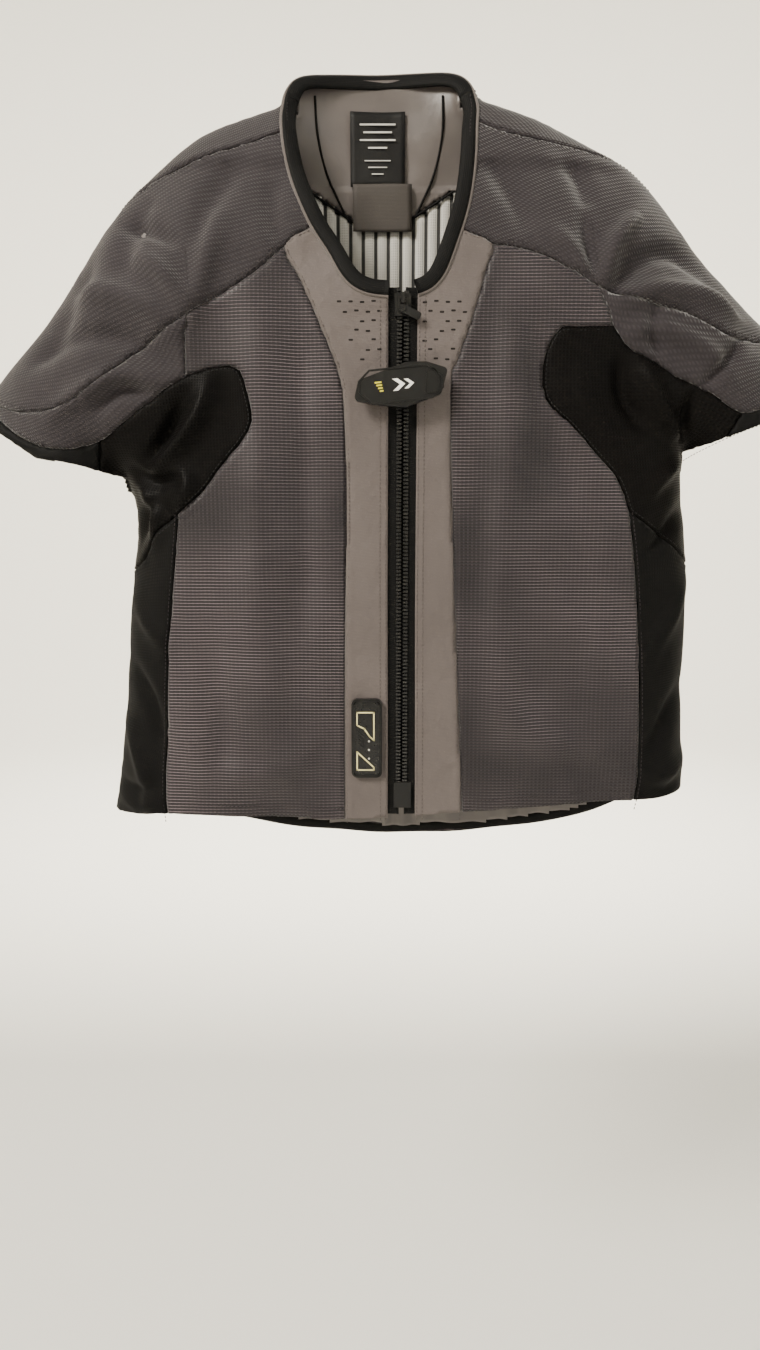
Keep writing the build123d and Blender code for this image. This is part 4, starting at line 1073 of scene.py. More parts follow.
            band = s(self._band_back(hand))
            claim("cuff_band" + tag, joined(band, [(sign * 236, -330), (sign * 400, -330),
                                                   (sign * 400, band[0][1])]), ~front)
            claim("sleeve_back" + tag, joined(s(ARMHOLE_BACK[hand]), [(sign * 420, -310), (sign * 420, 60),
                                                                     (sign * 205, 60)]), ~front)
            claim("side_panel" + tag, joined(s(SIDE_BACK[hand]), [(sign * 300, -640), (sign * 300, -290),
                                                                 FLANK[hand][0]]), ~front)
        claim("back_yoke", joined([(-300, -168)], s(BACK_YOKE), [(300, -160), (300, 90), (-300, 90)]), ~front)
        claim("back_panel", np.array([(-400, 90), (400, 90), (400, -700), (-400, -700)], float), ~front)
        return names

    def cut(self) -> None:
        """Cuts the form along its seams and makes one sheet from each panel."""
        bm = bmesh.new()
        bm.from_mesh(self.form.data)
        bmesh.ops.bisect_plane(bm, geom=bm.verts[:] + bm.edges[:] + bm.faces[:], dist=0.0004,
                               plane_co=(0, MIDDLE_Y * MM, 0), plane_no=(0, 1, 0))
        for side, line in self.seams():
            self._cut_line(bm, side, line * MM)
        bm.faces.ensure_lookup_table()
        middles = np.array([f.calc_center_median() for f in bm.faces]) * 1000
        names = self._classify(middles[:, [0, 2]], middles[:, 1] < MIDDLE_Y)
        layer = bm.faces.layers.int.new("panel")
        kinds = sorted(set(names) - {"gone"})
        for face, name in zip(bm.faces, names):
            face[layer] = kinds.index(name) if name != "gone" else -1
        self._groove(bm, layer)
        for index, name in enumerate(kinds):
            part = bm.copy()
            part.faces.ensure_lookup_table()
            kept = part.faces.layers.int["panel"]
            bmesh.ops.delete(part, geom=[f for f in part.faces if f[kept] != index], context="FACES")
            self._drop_crumbs(part)
            mesh = bpy.data.meshes.new(name)
            part.to_mesh(mesh)
            part.free()
            mesh.polygons.foreach_set("use_smooth", [True] * len(mesh.polygons))
            obj = bpy.data.objects.new("cloth_" + name, mesh)
            bpy.context.scene.collection.objects.link(obj)
            self.panels[name] = obj
        bm.free()
        bpy.data.objects.remove(self.form)

    @staticmethod
    def _drop_crumbs(bm: bmesh.types.BMesh) -> None:
        """Deletes stray bits that lie apart from the panel's main pieces."""
        seen: set = set()
        for start in list(bm.faces):
            if not start.is_valid or start in seen:
                continue
            group, queue = [], [start]
            seen.add(start)
            while queue:
                face = queue.pop()
                group.append(face)
                for edge in face.edges:
                    for other in edge.link_faces:
                        if other not in seen:
                            seen.add(other)
                            queue.append(other)
            if sum(f.calc_area() for f in group) < 2e-4:
                bmesh.ops.delete(bm, geom=group, context="FACES")

    @staticmethod
    def _cut_line(bm: bmesh.types.BMesh, side: Side, line: np.ndarray) -> None:
        """Cuts the faces along one line with upright planes."""
        near = 0.012
        low, high = line.min(0) - near, line.max(0) + near
        pool = [f for f in bm.faces
                for c in (f.calc_center_median(),)
                if (c.y - MIDDLE_Y * MM) * side.value > 0 and low[0] < c.x < high[0] and low[1] < c.z < high[1]]
        if not pool:
            return
        places = np.array([(c.x, c.z) for c in (f.calc_center_median() for f in pool)])
        pool = {f for f, d in zip(pool, line_distance(places, line)) if d < near}
        for a, b in zip(line[:-1], line[1:]):
            along = b - a
            reach = float(np.linalg.norm(along))
            chosen = []
            for f in pool:
                c = f.calc_center_median()
                t = ((c.x - a[0]) * along[0] + (c.z - a[1]) * along[1]) / reach
                off = abs((c.x - a[0]) * along[1] - (c.z - a[1]) * along[0]) / reach
                if -0.0035 < t < reach + 0.0035 and off < 0.0065:
                    chosen.append(f)
            if not chosen:
                continue
            edges, verts = {e for f in chosen for e in f.edges}, {v for f in chosen for v in f.verts}
            geom = list(edges | verts | set(chosen))
            made = bmesh.ops.bisect_plane(bm, geom=geom, dist=0.0005, plane_co=(a[0], 0, a[1]),
                                          plane_no=(along[1] / reach, 0, -along[0] / reach))
            pool = {f for f in pool if f.is_valid}
            pool |= {g for g in made["geom"] if isinstance(g, bmesh.types.BMFace) and g.is_valid}

    @staticmethod
    def _groove(bm: bmesh.types.BMesh, layer: bmesh.types.BMLayerItem) -> None:
        """Sinks the cloth along the seams and puckers it beside them."""
        bm.normal_update()
        seam = {v for e in bm.edges if len(e.link_faces) == 2
                and e.link_faces[0][layer] != e.link_faces[1][layer]
                and -1 not in (e.link_faces[0][layer], e.link_faces[1][layer]) for v in e.verts}
        beside = {w for v in seam for e in v.link_edges for w in e.verts} - seam
        for v in seam:
            v.co -= v.normal * 0.0013
        for v in beside:
            wave = math.sin(v.co.x * 520) + math.sin(v.co.z * 560 + 1.0)
            v.co += v.normal * (0.00035 + 0.00022 * wave)


# ------------------------------------------------------------------ cut sizes
def cut_size(*nodes: str) -> tuple[float, float, float]:
    """The size a cloth piece is cut to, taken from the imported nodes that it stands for.

    Args:
        nodes: Names of thin closed nodes.

    Returns:
        Flat width, length and area, in metres. The area is half the nodes' surface, as each is a thin solid.
    """
    area = sum(face.area for node in nodes for face in frame["nodes"][node].data.polygons) / 2
    corners = np.array([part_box(node) for node in nodes])
    size = corners[:, 1].max(0) - corners[:, 0].min(0)
    width, length = float(math.hypot(size[0], size[1])), float(size[2])
    return width, length, min(float(area), width * length)



@dataclass(frozen=True)
class PanelStyle:
    """Finish, slot and lift of a panel."""

    finish: str
    slot: str
    lift: float = 0.0


PANEL_STYLES: dict[str, PanelStyle] = {
    "saddle": PanelStyle("shoulder_weave", "shoulder_weave"),
    "shoulder_panel": PanelStyle("shoulder_weave", "shoulder_weave"),
    "sleeve_panel": PanelStyle("shoulder_weave", "shoulder_weave"),
    "sleeve_back": PanelStyle("shoulder_weave", "shoulder_weave"),
    "back_yoke": PanelStyle("shoulder_weave", "shoulder_weave"),
    "front_panel": PanelStyle("body_mesh", "body_mesh"),
    "back_panel": PanelStyle("body_mesh", "body_mesh"),
    "placket": PanelStyle("placket_weave", "placket_weave", 0.0003),
    "underarm_panel": PanelStyle("net_black", "net_black"),
    "side_panel": PanelStyle("stretch_black", "stretch_black"),
    "cuff_band": PanelStyle("binding_black", "binding_black"),
}


class PanelDresser:
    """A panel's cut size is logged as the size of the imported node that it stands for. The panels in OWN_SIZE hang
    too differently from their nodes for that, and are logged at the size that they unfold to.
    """

    THICK = 0.0013
    OWN_SIZE = frozenset({"cuff_band_left", "underarm_panel_left"})

    def dress(self, name: str, obj: bpy.types.Object) -> bpy.types.Object:
        """Dresses one panel.

        Args:
            name: The CAD node that the panel stands for.
            obj: The panel's object.

        Returns:
            The same object.
        """
        style = PANEL_STYLES[name.replace("_left", "").replace("_right", "")]
        obj.data.materials.clear()
        obj.data.materials.append(FINISH.get(style.finish))
        width, length, area = self._flatten(obj)
        if style.finish in ("body_mesh", "placket_weave"):
            mesh = obj.data
            corner = np.empty(len(mesh.loops), int)
            mesh.loops.foreach_get("vertex_index", corner)
            at = np.empty(len(mesh.vertices) * 3)
            mesh.vertices.foreach_get("co", at)
            mesh.uv_layers[0].data.foreach_set("uv", at.reshape(-1, 3)[corner][:, [0, 2]].ravel())
        solid = obj.modifiers.new("thickness", "SOLIDIFY")
        solid.thickness = self.THICK
        solid.offset = -1.0
        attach(obj, "garment")
        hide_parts(name)
        measured = sum(face.area for face in obj.data.polygons)
        if name not in self.OWN_SIZE:
            width, length, area = cut_size(name)
        LOG.info("%s: cut %.3f x %.3f m, %.4f m2, hangs as %.4f m2", name, width, length, area, measured)
        return obj

    @staticmethod
    def _flatten(obj: bpy.types.Object) -> tuple[float, float, float]:
        """Unfolds a panel into the plane and returns its flat width, length and area."""
        mesh = obj.data
        if not mesh.uv_layers:
            mesh.uv_layers.new(name="UVMap")
        bpy.ops.object.select_all(action="DESELECT")
        obj.select_set(True)
        bpy.context.view_layer.objects.active = obj
        bpy.ops.object.mode_set(mode="EDIT")
        bpy.ops.mesh.select_all(action="SELECT")
        bpy.ops.uv.unwrap(method="CONFORMAL", margin=0.0)
        bpy.ops.object.mode_set(mode="OBJECT")
        count = len(mesh.loops)
        uv = np.empty(count * 2)
        mesh.uv_layers[0].data.foreach_get("uv", uv)
        uv = uv.reshape(-1, 2)
        corner = np.empty(count, int)
        mesh.loops.foreach_get("vertex_index", corner)
        at = np.empty(len(mesh.vertices) * 3)
        mesh.vertices.foreach_get("co", at)
        at = at.reshape(-1, 3)[corner]
        target = at[:, [0, 2]]
        a = np.column_stack([uv, np.ones(count)])
        fit, *_ = np.linalg.lstsq(a, target, rcond=None)
        matrix = fit[:2].T
        u, _, vt = np.linalg.svd(matrix)
        turn = u @ vt
        area3 = sum(p.area for p in mesh.polygons)
        flat_area = 0.0
        for poly in mesh.polygons:
            loop = uv[list(poly.loop_indices)]
            x, y = loop.T
            flat_area += abs(float((x * np.roll(y, -1) - y * np.roll(x, -1)).sum())) / 2
        scale = math.sqrt(area3 / max(flat_area, 1e-12))
        uv = (uv @ turn.T) * scale
        uv -= uv.mean(0)
        mesh.uv_layers[0].data.foreach_set("uv", uv.ravel())
        size = uv.max(0) - uv.min(0)
        return float(size[0]), float(size[1]), float(max(area3, 0.3 * size[0] * size[1]))


# ------------------------------------------------------------------ sewing
@dataclass
class Stitching:
    """Rows of stitches laid on the cloth."""

    garment: Garment
    solids: dict[str, Solids] = field(default_factory=dict)

    def row(self, line: Line, offset: float, thread: str, side: Side = Side.FRONT, pitch: float = 3.4,
            length: float = 2.4, thick: float = 0.38) -> None:
        """Lays one row of stitches beside a line.

        Args:
            line: The line in millimetres (x, z).
            offset: Distance of the row from the line; the sign gives the side.
            thread: Finish of the thread.
            side: Face of the garment.
            pitch: Distance between stitches.
            length: Length of one stitch.
            thick: Half thickness of the thread.
        """
        path = smooth_line(line, 4.0)
        ahead = np.gradient(path, axis=0)
        ahead /= np.linalg.norm(ahead, axis=1)[:, None] + 1e-9
        path = path + np.column_stack([-ahead[:, 1], ahead[:, 0]]) * offset
        path = even_line(path, pitch)
        made = self.solids.setdefault(thread, Solids())
        for a, b in zip(path[:-1], path[1:]):
            middle = (a + b) / 2
            along = (b - a) / (np.linalg.norm(b - a) + 1e-9) * length / 2
            p, n = self.garment.on_surface(tuple(middle - along), side)
            q, m = self.garment.on_surface(tuple(middle + along), side)
            if (q - p).length > 0.008:
                continue
            self._thread(made, p, q, (n + m).normalized(), thick * MM)

    @staticmethod
    def _thread(made: Solids, p: Vector, q: Vector, normal: Vector, thick: float) -> None:
        """One stitch: a short rounded bar from p to q, half sunk in the cloth."""
        axis = (q - p).normalized()
        side = axis.cross(normal).normalized()
        up = side.cross(axis).normalized()
        points = [p - up * thick * 0.4]
        for t, r in ((0.18, 1.0), (0.82, 1.0)):
            middle = p.lerp(q, t) + up * thick * 0.35
            for k in range(5):
                a = 2 * math.pi * k / 5
                points.append(middle + side * math.cos(a) * thick * r + up * math.sin(a) * thick * r)
        points.append(q - up * thick * 0.4)
        faces = []
        for k in range(5):
            n = (k + 1) % 5
            faces += [[0, 1 + n, 1 + k], [1 + k, 1 + n, 6 + n, 6 + k], [6 + k, 6 + n, 11]]
        made.add(points, faces)

    def finish(self) -> None:
        """Makes one piece from the stitches of each thread."""
        for thread, solids in self.solids.items():
            obj = solids.make("stitches_" + thread, thread)
            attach(obj, "garment")
            LOG.info("%s: %d faces", obj.name, len(obj.data.polygons))


def sew_rows(sewing: Stitching) -> None:
    """Lays the rows of stitches beside every seam."""
    for hand, sign in ((Hand.LEFT, -1), (Hand.RIGHT, 1)):
        sewing.row(YOKE[hand], 2.6 * sign, "thread_dark")
        sewing.row(YOKE[hand], 4.6 * sign, "thread_dark")
        sewing.row(SHOULDER_SEAM[hand], 2.4, "thread_dark")
        sewing.row(SHOULDER_SEAM[hand], -2.4, "thread_dark")
        sewing.row(SHOULDER_BACK[hand], 2.6, "thread_dark", Side.BACK)
        sewing.row(DART[hand], 2.2, "thread_dark")
        sewing.row(PATCH[hand], 2.3 * sign, "thread_black")
        sewing.row(NET_EDGE[hand], 2.3, "thread_black")
        sewing.row(SIDE_SEAM[hand], 2.3 * sign, "thread_dark")
        sewing.row(GREY_EDGE[hand], 2.5 * sign, "thread_dark")
        sewing.row(PLACKET[hand], -2.2 * sign, "thread_grey")
        sewing.row(ZIP_EDGE[hand], 1.6 * sign, "thread_grey")
        sewing.row(ZIP_EDGE[hand], 6.2 * sign, "thread_grey")
        sewing.row(ARMHOLE_BACK[hand], 2.4, "thread_dark", Side.BACK)
        sewing.row(SIDE_BACK[hand], 2.4, "thread_black", Side.BACK)
        sewing.row(CUFF_BACK[hand], 11.0, "thread_black", Side.BACK)
        sewing.row(NECK_FRONT[hand][:8], 4.2 * -sign, "thread_dark")
    sewing.row(SLEEVE_LINE[Hand.RIGHT], 0.0, "thread_dark")
    sewing.row(BACK_YOKE, 2.6, "thread_dark", Side.BACK)
    sewing.row(BACK_YOKE, -2.6, "thread_dark", Side.BACK)
    hem = np.array(HEM_FRONT[2:5], float) + (0, 9)
    sewing.row([tuple(p) for p in hem], 0.0, "thread_dark")
    hem = np.array(HEM_FRONT[6:9], float) + (0, 9)
    sewing.row([tuple(p) for p in hem], 0.0, "thread_dark")
    hem = np.array(HEM_BACK, float) + (0, 11)
    sewing.row([tuple(p) for p in hem[1:-1]], 0.0, "thread_black", Side.BACK)


def perforate(garment: Garment) -> bpy.types.Object:
    """Lays the staggered slots at the tops of the plackets as dark inlays whose colour is painted shade inside the
    holes.
    """
    made = Solids()
    shape = rounded(3.6 * MM, 1.5 * MM, 0.74 * MM, 4)
    for sign, left in ((-1, -50.0), (1, 17.0)):
        for row in range(7):
            z = -169 - row * 7.2
            for col in range(4):
                x = left + col * 9.0 + (4.5 if row % 2 else 0.0)
                edge = np.interp(-z, [150, 183, 214, 236], [70, 54, 43, 38]) - 6
                if row > 1 and (abs(x) > edge or (col + row) % 3 == 0):
                    continue
                if abs(x) > edge or abs(x) < 17:
                    continue
                at, normal = garment.on_surface((x, z + 0.6 * math.sin(x)))
                across = Vector((1, 0, 0)).cross(normal).normalized()
                side = normal.cross(across).normalized()
                made.prism(shape, (side, across, normal), at, ((-0.0006, 1.0), (0.00015, 1.0), (0.0002, 0.8)))
    obj = made.make("placket_slots", "painted_hole_shade", False)
    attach(obj, "garment")
    return obj


# ------------------------------------------------------------------ collar, binding and piping
class Edging:
    """The collar band, the piping round the neck, and the bound back hem."""

    def __init__(self, garment: Garment) -> None:
        """Keeps the garment that the edges lie on."""
        self.garment = garment

    def neck_path(self) -> tuple[np.ndarray, np.ndarray]:
        """The neck edge as points in space, from the left placket round the back to the right one."""
        left = smooth_line(NECK_FRONT[Hand.LEFT], 5.0)[::-1]
        right = smooth_line(NECK_FRONT[Hand.RIGHT], 5.0)
        back = smooth_line(NECK_BACK, 5.0)
        places = []
        for x, z in left[:-3]:
            at, _ = self.garment.on_surface((x - 1.5 if x < -40 else x, z))
            places.append((x, at.y * 1000, z))
        for x, z in back[1:-1]:
            u = min(max((x + 97) / 156, 0.0), 1.0)
            places.append((x, -4 + 31 * math.sin(math.pi * u) ** 0.6, z))
        for x, z in right[3:]:
            at, _ = self.garment.on_surface((x + 1.5 if x > 34 else x, z))
            places.append((x, at.y * 1000, z))
        path = even_line(np.array(places, float), 4.0)
        for _ in range(4):
            path[1:-1] = (path[:-2] + 2 * path[1:-1] + path[2:]) / 4
        return path * MM, np.array([-19.0, 0.0, -62.0]) * MM

    def build(self) -> None:
        """Makes the collar bands, the piping and the hem binding."""
        path, middle = self.neck_path()
        inward = middle - path
        inward[:, 1] = 0
        inward /= np.linalg.norm(inward, axis=1)[:, None]
        lean = np.clip((path[:, 2] + 0.005) / 0.02, 0, 1)
        inward = inward * 1.0 + np.array([0, 1, 0]) * (0.12 - 0.42 * lean)[:, None]
        band = [(-0.5, -1.7), (2, -2.3), (6, -2.5), (9.5, -2.1), (11, -1.0), (11.2, 0.2), (10.4, 1.3), (6, 1.9),
                (2, 1.7), (-0.5, 1.2)]
        split = np.array([p[2] > -0.012 and p[1] > -0.002 for p in path])
        first, last = int(np.argmax(split)), len(path) - 1 - int(np.argmax(split[::-1]))
        for name, nodes, start, stop in (("collar_band_left", ("collar_front",), 0, first + 1),
                                         ("collar_band_back", ("collar_back",), first, last + 1),
                                         ("collar_band_right", (), last, len(path))):
            self._strip(name, path[start:stop], inward[start:stop], band, "binding_black", nodes)
        cord = [(1.5 * math.cos(a) - 1.0, 1.5 * math.sin(a)) for a in np.linspace(0, 2 * math.pi, 9)[:-1]]
        points, faces, flat = sweep(path, inward, [(a * MM, b * MM) for a, b in cord])
        piping = make_object("neck_piping", points, faces, "piping_grey")
        set_uv(piping, flat)
        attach(piping, "garment")
        self._hem()

    def _strip(self, name: str, path: np.ndarray, inward: np.ndarray, profile: Sequence[Point], finish: str,
               nodes: Sequence[str]) -> bpy.types.Object:
        points, faces, flat = sweep(path, inward, [(a * MM, b * MM) for a, b in profile])
        obj = make_object(name, points, faces, finish)
        set_uv(obj, flat)
        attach(obj, "garment")
        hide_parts(*nodes)
        return obj

    def _hem(self) -> None:
        """The bound edge of the back hem."""
        line = smooth_line(HEM_BACK, 6.0)
        points = []
        for x, z in line:
            at, _ = self.garment.on_surface((x, z + 3), Side.BACK)
            points.append((x, at.y * 1000, z))
        path = even_line(np.array(points), 5.0)[2:-2]
        for _ in range(3):
            path[1:-1] = (path[:-2] + 2 * path[1:-1] + path[2:]) / 4
        up = np.tile(np.array([0.0, 0.0, 1.0]), (len(path), 1))
        profile = [(-1.5, -1.2), (1, -1.9), (5, -2.0), (8.5, -1.7), (9, 0.0), (8.5, 1.6), (5, 1.9), (1, 1.8),
                   (-1.5, 1.2), (-2.2, 0)]
        self._strip("hem_binding_cloth", path * MM, up, profile, "binding_black", ("hem_binding",))


# ------------------------------------------------------------------ linings and labels
class Lining:
    """The cloth inside: ribbed mesh and satin at the back, satin behind the fronts."""

    RIB = 10.8

    def __init__(self) -> None:
        """Makes the form that the linings lie on."""
        self.form = Pillow(inset=10.0, front=((-680, 50), (-165, 50), (-120, 45), (-80, 36), (-40, 26), (0, 15),
                                              (60, 12)),
                           back=((-680, 50), (-600, 46), (-560, 32), (-165, 30), (-80, 28), (0, 25), (28, 22),
                                 (60, 20)))

    def _sheet(self, name: str, xs: np.ndarray, zs: np.ndarray, keep: Callable[[np.ndarray], np.ndarray],
               side: Side, relief: Callable[[np.ndarray], np.ndarray], finish: str, slot: str,
               nodes: Sequence[str], thick: float = 0.0) -> bpy.types.Object:
        """Makes one lining sheet over a grid.

        Args:
            name: Piece name.
            xs: Grid places across.
            zs: Grid places upwards.
            keep: Tells which places belong to the sheet.
            side: The face of the garment the sheet lies behind.
            relief: Lift of the cloth towards the wearer's side, in millimetres.
            finish: Finish name.
            slot: Material slot; not used.
            nodes: CAD nodes it stands for.
            thick: Thickness in metres of a padded piece; zero for a plain sheet.

        Returns:
            The new object.
        """
        grid = np.array([(x, z) for z in zs for x in xs])
        depth = self.form.depth(grid, side)
        held = keep(grid) & (depth > 3.0) & inside(grid, self.form.outline())
        y = MIDDLE_Y + side.value * (depth - relief(grid))
        wide = len(xs)
        faces = []
        for row in range(len(zs) - 1):
            for col in range(wide - 1):
                k = row * wide + col
                cell = [k, k + 1, k + wide + 1, k + wide]
                if held[cell].all():
                    faces.append(cell if side is Side.BACK else cell[::-1])
        used = sorted({k for f in faces for k in f})
        number = {k: i for i, k in enumerate(used)}
        points = np.column_stack([grid[used, 0], y[used], grid[used, 1]]) * MM
        obj = make_object(name, points, [[number[k] for k in f] for f in faces], finish)
        set_uv(obj, grid[used] * MM)
        solid = obj.modifiers.new("thickness", "SOLIDIFY")
        solid.thickness = thick or 0.0008
        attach(obj, "garment")
        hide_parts(*nodes)
        if thick:
            return obj
        return obj

    def build(self) -> None:
        """Makes every lining sheet."""
        rib = self.RIB
        seam = np.array([(-150, -60), (-78, -62), (-40, -86), (-19, -92), (4, -86), (44, -62), (150, -60)],
                        float)

        def split(grid: np.ndarray) -> np.ndarray:
            """Height of the yoke seam over each place."""
            return np.interp(grid[:, 0], seam[:, 0], seam[:, 1])

        def ribs(grid: np.ndarray) -> np.ndarray:
            """Relief of the ribbed mesh."""
            off = np.abs(((grid[:, 0] / rib + 100) % 1) - 0.5)
            return 1.3 * np.sqrt(np.clip(np.cos(np.clip(off / 0.37, 0, 1) * math.pi / 2), 0, 1))

        def satin(grid: np.ndarray) -> np.ndarray:
            """Soft waves of the slack satin."""
            x, z = grid.T
            waves = 1.5 + 0.7 * np.sin(x / 17 + z / 9) * np.sin(z / 21)
            return waves + 0.5 * np.sin(x / 7 + 2 * np.sin(z / 18))

        def gathers(grid: np.ndarray) -> np.ndarray:
            """Gathers that deepen towards the hem."""
            x, z = grid.T
            near = np.clip((-z - 575) / 40, 0, 1)
            pleats = 1.5 + 1.9 * near * np.sin(x / 3.9 + 1.6 * np.sin(x / 19) + z / 25)
            return pleats + 0.8 * np.sin(x / 9 + z / 13)

        xs = np.arange(-216, 217, rib / 8)
        self._sheet("lining_ribbed", xs, np.arange(-576, -50, 7.0), lambda g: g[:, 1] < split(g) + 4, Side.BACK,
                    ribs, "lining_mesh", "lining_mesh", ("back_lining",))
        self._sheet("lining_hem", np.arange(-238, 238, 2.0), np.arange(-640, -566, 3.0),
                    lambda g: g[:, 1] > np.interp(g[:, 0], *np.array(HEM_BACK, float).T) + 9, Side.BACK, gathers,
                    "lining_satin", "lining_satin", ())
        neck = np.array(NECK_BACK, float)
        order = neck[np.argsort(neck[:, 0])]
        self._sheet("lining_yoke_satin", np.arange(-150, 116, 2.5), np.arange(-98, 27, 2.5),
                    lambda g: (g[:, 1] > split(g)) & (g[:, 1] < np.interp(g[:, 0], order[:, 0], order[:, 1]) - 3),
                    Side.BACK, satin, "lining_satin", "lining_satin", ("lining_yoke",))
        for hand, sign in ((Hand.LEFT, -1), (Hand.RIGHT, 1)):
            neckline = joined(smooth_line(NECK_FRONT[hand]), [(sign * 4, -164), (0, 90), (sign * 60, 90)])
            self._sheet("lining_front_" + hand.value, sign * np.arange(15, 232, 4.0), np.arange(-574, -20, 4.0),
                        lambda g, n=neckline: ~inside(g, n) & (line_distance(g, n) > 9) & (g[:, 1] < -40)
                        & self._clear_of_cuff(g), Side.FRONT, satin, "lining_satin",
                        "lining_satin", ("front_lining_" + hand.value,))
        self._seams(split)
        self._labels()

    @staticmethod
    def _clear_of_cuff(grid: np.ndarray) -> np.ndarray:
        """Which places lie well inside the cuffs."""
        off = np.full(len(grid), 1e9)
        for hand in Hand:
            off = np.minimum(off, line_distance(grid, smooth_line(CUFF_FRONT[hand])))
        return off > 14

    def _surface(self, x: float, z: float, off: float) -> Vector:
        """A point just in front of the back lining."""
        depth = float(self.form.depth(np.array([[x, z]]), Side.BACK)[0])
        return Vector((x, MIDDLE_Y + depth - off, z)) * MM

    def _seams(self, split: Callable[[np.ndarray], np.ndarray]) -> None:
        """The dark piping between the satin yoke and the ribbed mesh, and its two curved seams."""
        lines = [[(x, float(split(np.array([[x, 0.0]]))[0])) for x in np.arange(-100, 70, 4.0)],
                 [(-72, 10), (-70, -20), (-63, -48), (-48, -80)], [(34, 10), (34, -20), (27, -50), (12, -82)]]
        made = Solids()
        for line in lines:
            path = even_line(smooth_line(line, 4.0), 3.0)
            at = np.array([self._surface(x, z, 2.4) for x, z in path])
            inward = np.tile(np.array([0.0, -1.0, 0.0]), (len(at), 1))
            profile = [(0.9 * MM * math.cos(a), 1.1 * MM * math.sin(a))
                       for a in np.linspace(0, 2 * math.pi, 7)[:-1]]
            points, faces, _ = sweep(at, inward, profile)
            made.add(points, faces)
        obj = made.make("lining_piping", "binding_black")
        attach(obj, "garment")

    def _labels(self) -> None:
        """The woven neck label with a plain printed block, and the patch below it."""
        for name, node, (x0, x1), (z0, z1), finish in (
                ("label_neck", "care_label", (-43, 3), (-58, 0), "label_woven"),
                ("label_patch_cloth", "label_patch", (-41, 9), (-94, -56), "label_patch")):
            xs, zs = np.linspace(x0, x1, 12), np.linspace(z0, z1, 14)
            off = 4.4 if node == "care_label" else 5.6
            points = [self._surface(x, z, off + 0.6 * math.sin(x / 9 + z / 14)) for z in zs for x in xs]
            faces = [[r * 12 + c, r * 12 + c + 1, (r + 1) * 12 + c + 1, (r + 1) * 12 + c]
                     for r in range(13) for c in range(11)]
            obj = make_object(name, points, faces, finish)
            set_uv(obj, [(x * MM, z * MM) for z in zs for x in xs])
            solid = obj.modifiers.new("thickness", "SOLIDIFY")
            solid.thickness = 0.0006
            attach(obj, "garment")
            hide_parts(node)
        made = Solids()
        axes = (Vector((1, 0, 0)), Vector((0, 0, 1)), Vector((0, -1, 0)))
        for row in range(4):
            width = (30, 24, 30, 16)[row]
            at = self._surface(-20, -10 - row * 6.0, 5.6)
            made.prism(rounded(width * MM, 1.3 * MM, 0.3 * MM, 2), axes, at, ((0, 1), (0.0003, 1)))
        for k in range(3):
            at = self._surface(-20, -38 - k * 5.2, 5.6)
            made.prism(rounded((22 - 6 * k) * MM, 0.8 * MM, 0.2 * MM, 2), axes, at, ((0, 1), (0.0003, 1)))
        obj = made.make("label_bars", "label_print", False)
        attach(obj, "garment")


class Airbags(Lining):
    """The folded airbags between the outer cloth and the linings."""

    def __init__(self) -> None:
        """Makes the form that the folded airbags lie on."""
        self.form = Pillow(inset=6.0, front=((-680, 51), (-165, 51), (-120, 45), (-80, 34), (-40, 23), (0, 13),
                                             (60, 10)),
                           back=((-680, 51), (-130, 51), (-80, 45), (-40, 36), (0, 25), (60, 16)))

    def build(self) -> None:
        """Makes the front pads and the back pad."""
        def folds(grid: np.ndarray) -> np.ndarray:
            """Relief of the folded film."""
            x, z = grid.T
            return 2.2 + 0.8 * np.sin(z / 8) + 0.4 * np.sin(x / 12)

        def in_front(grid: np.ndarray) -> np.ndarray:
            """Places that the two front pads cover."""
            x, z = np.abs(grid[:, 0]), grid[:, 1]
            return (x > 62) & (x < 150) & (z < -135) & (z > -480)

        def behind(grid: np.ndarray) -> np.ndarray:
            """Places that the back pad covers."""
            x, z = np.abs(grid[:, 0] + 10), grid[:, 1]
            return (x < 128) & (z < -48) & (z > -160)

        self._sheet("airbag_front_pads", np.arange(-150, 151, 5.0), np.arange(-480, -130, 5.0), in_front,
                    Side.FRONT, folds, "airbag_cloth", "airbag_cloth", ("airbag_front",), 0.003)
        self._sheet("airbag_back_pad", np.arange(-140, 141, 5.0), np.arange(-160, -40, 5.0), behind, Side.BACK,
                    folds, "airbag_cloth", "airbag_cloth", ("airbag_back",), 0.003)


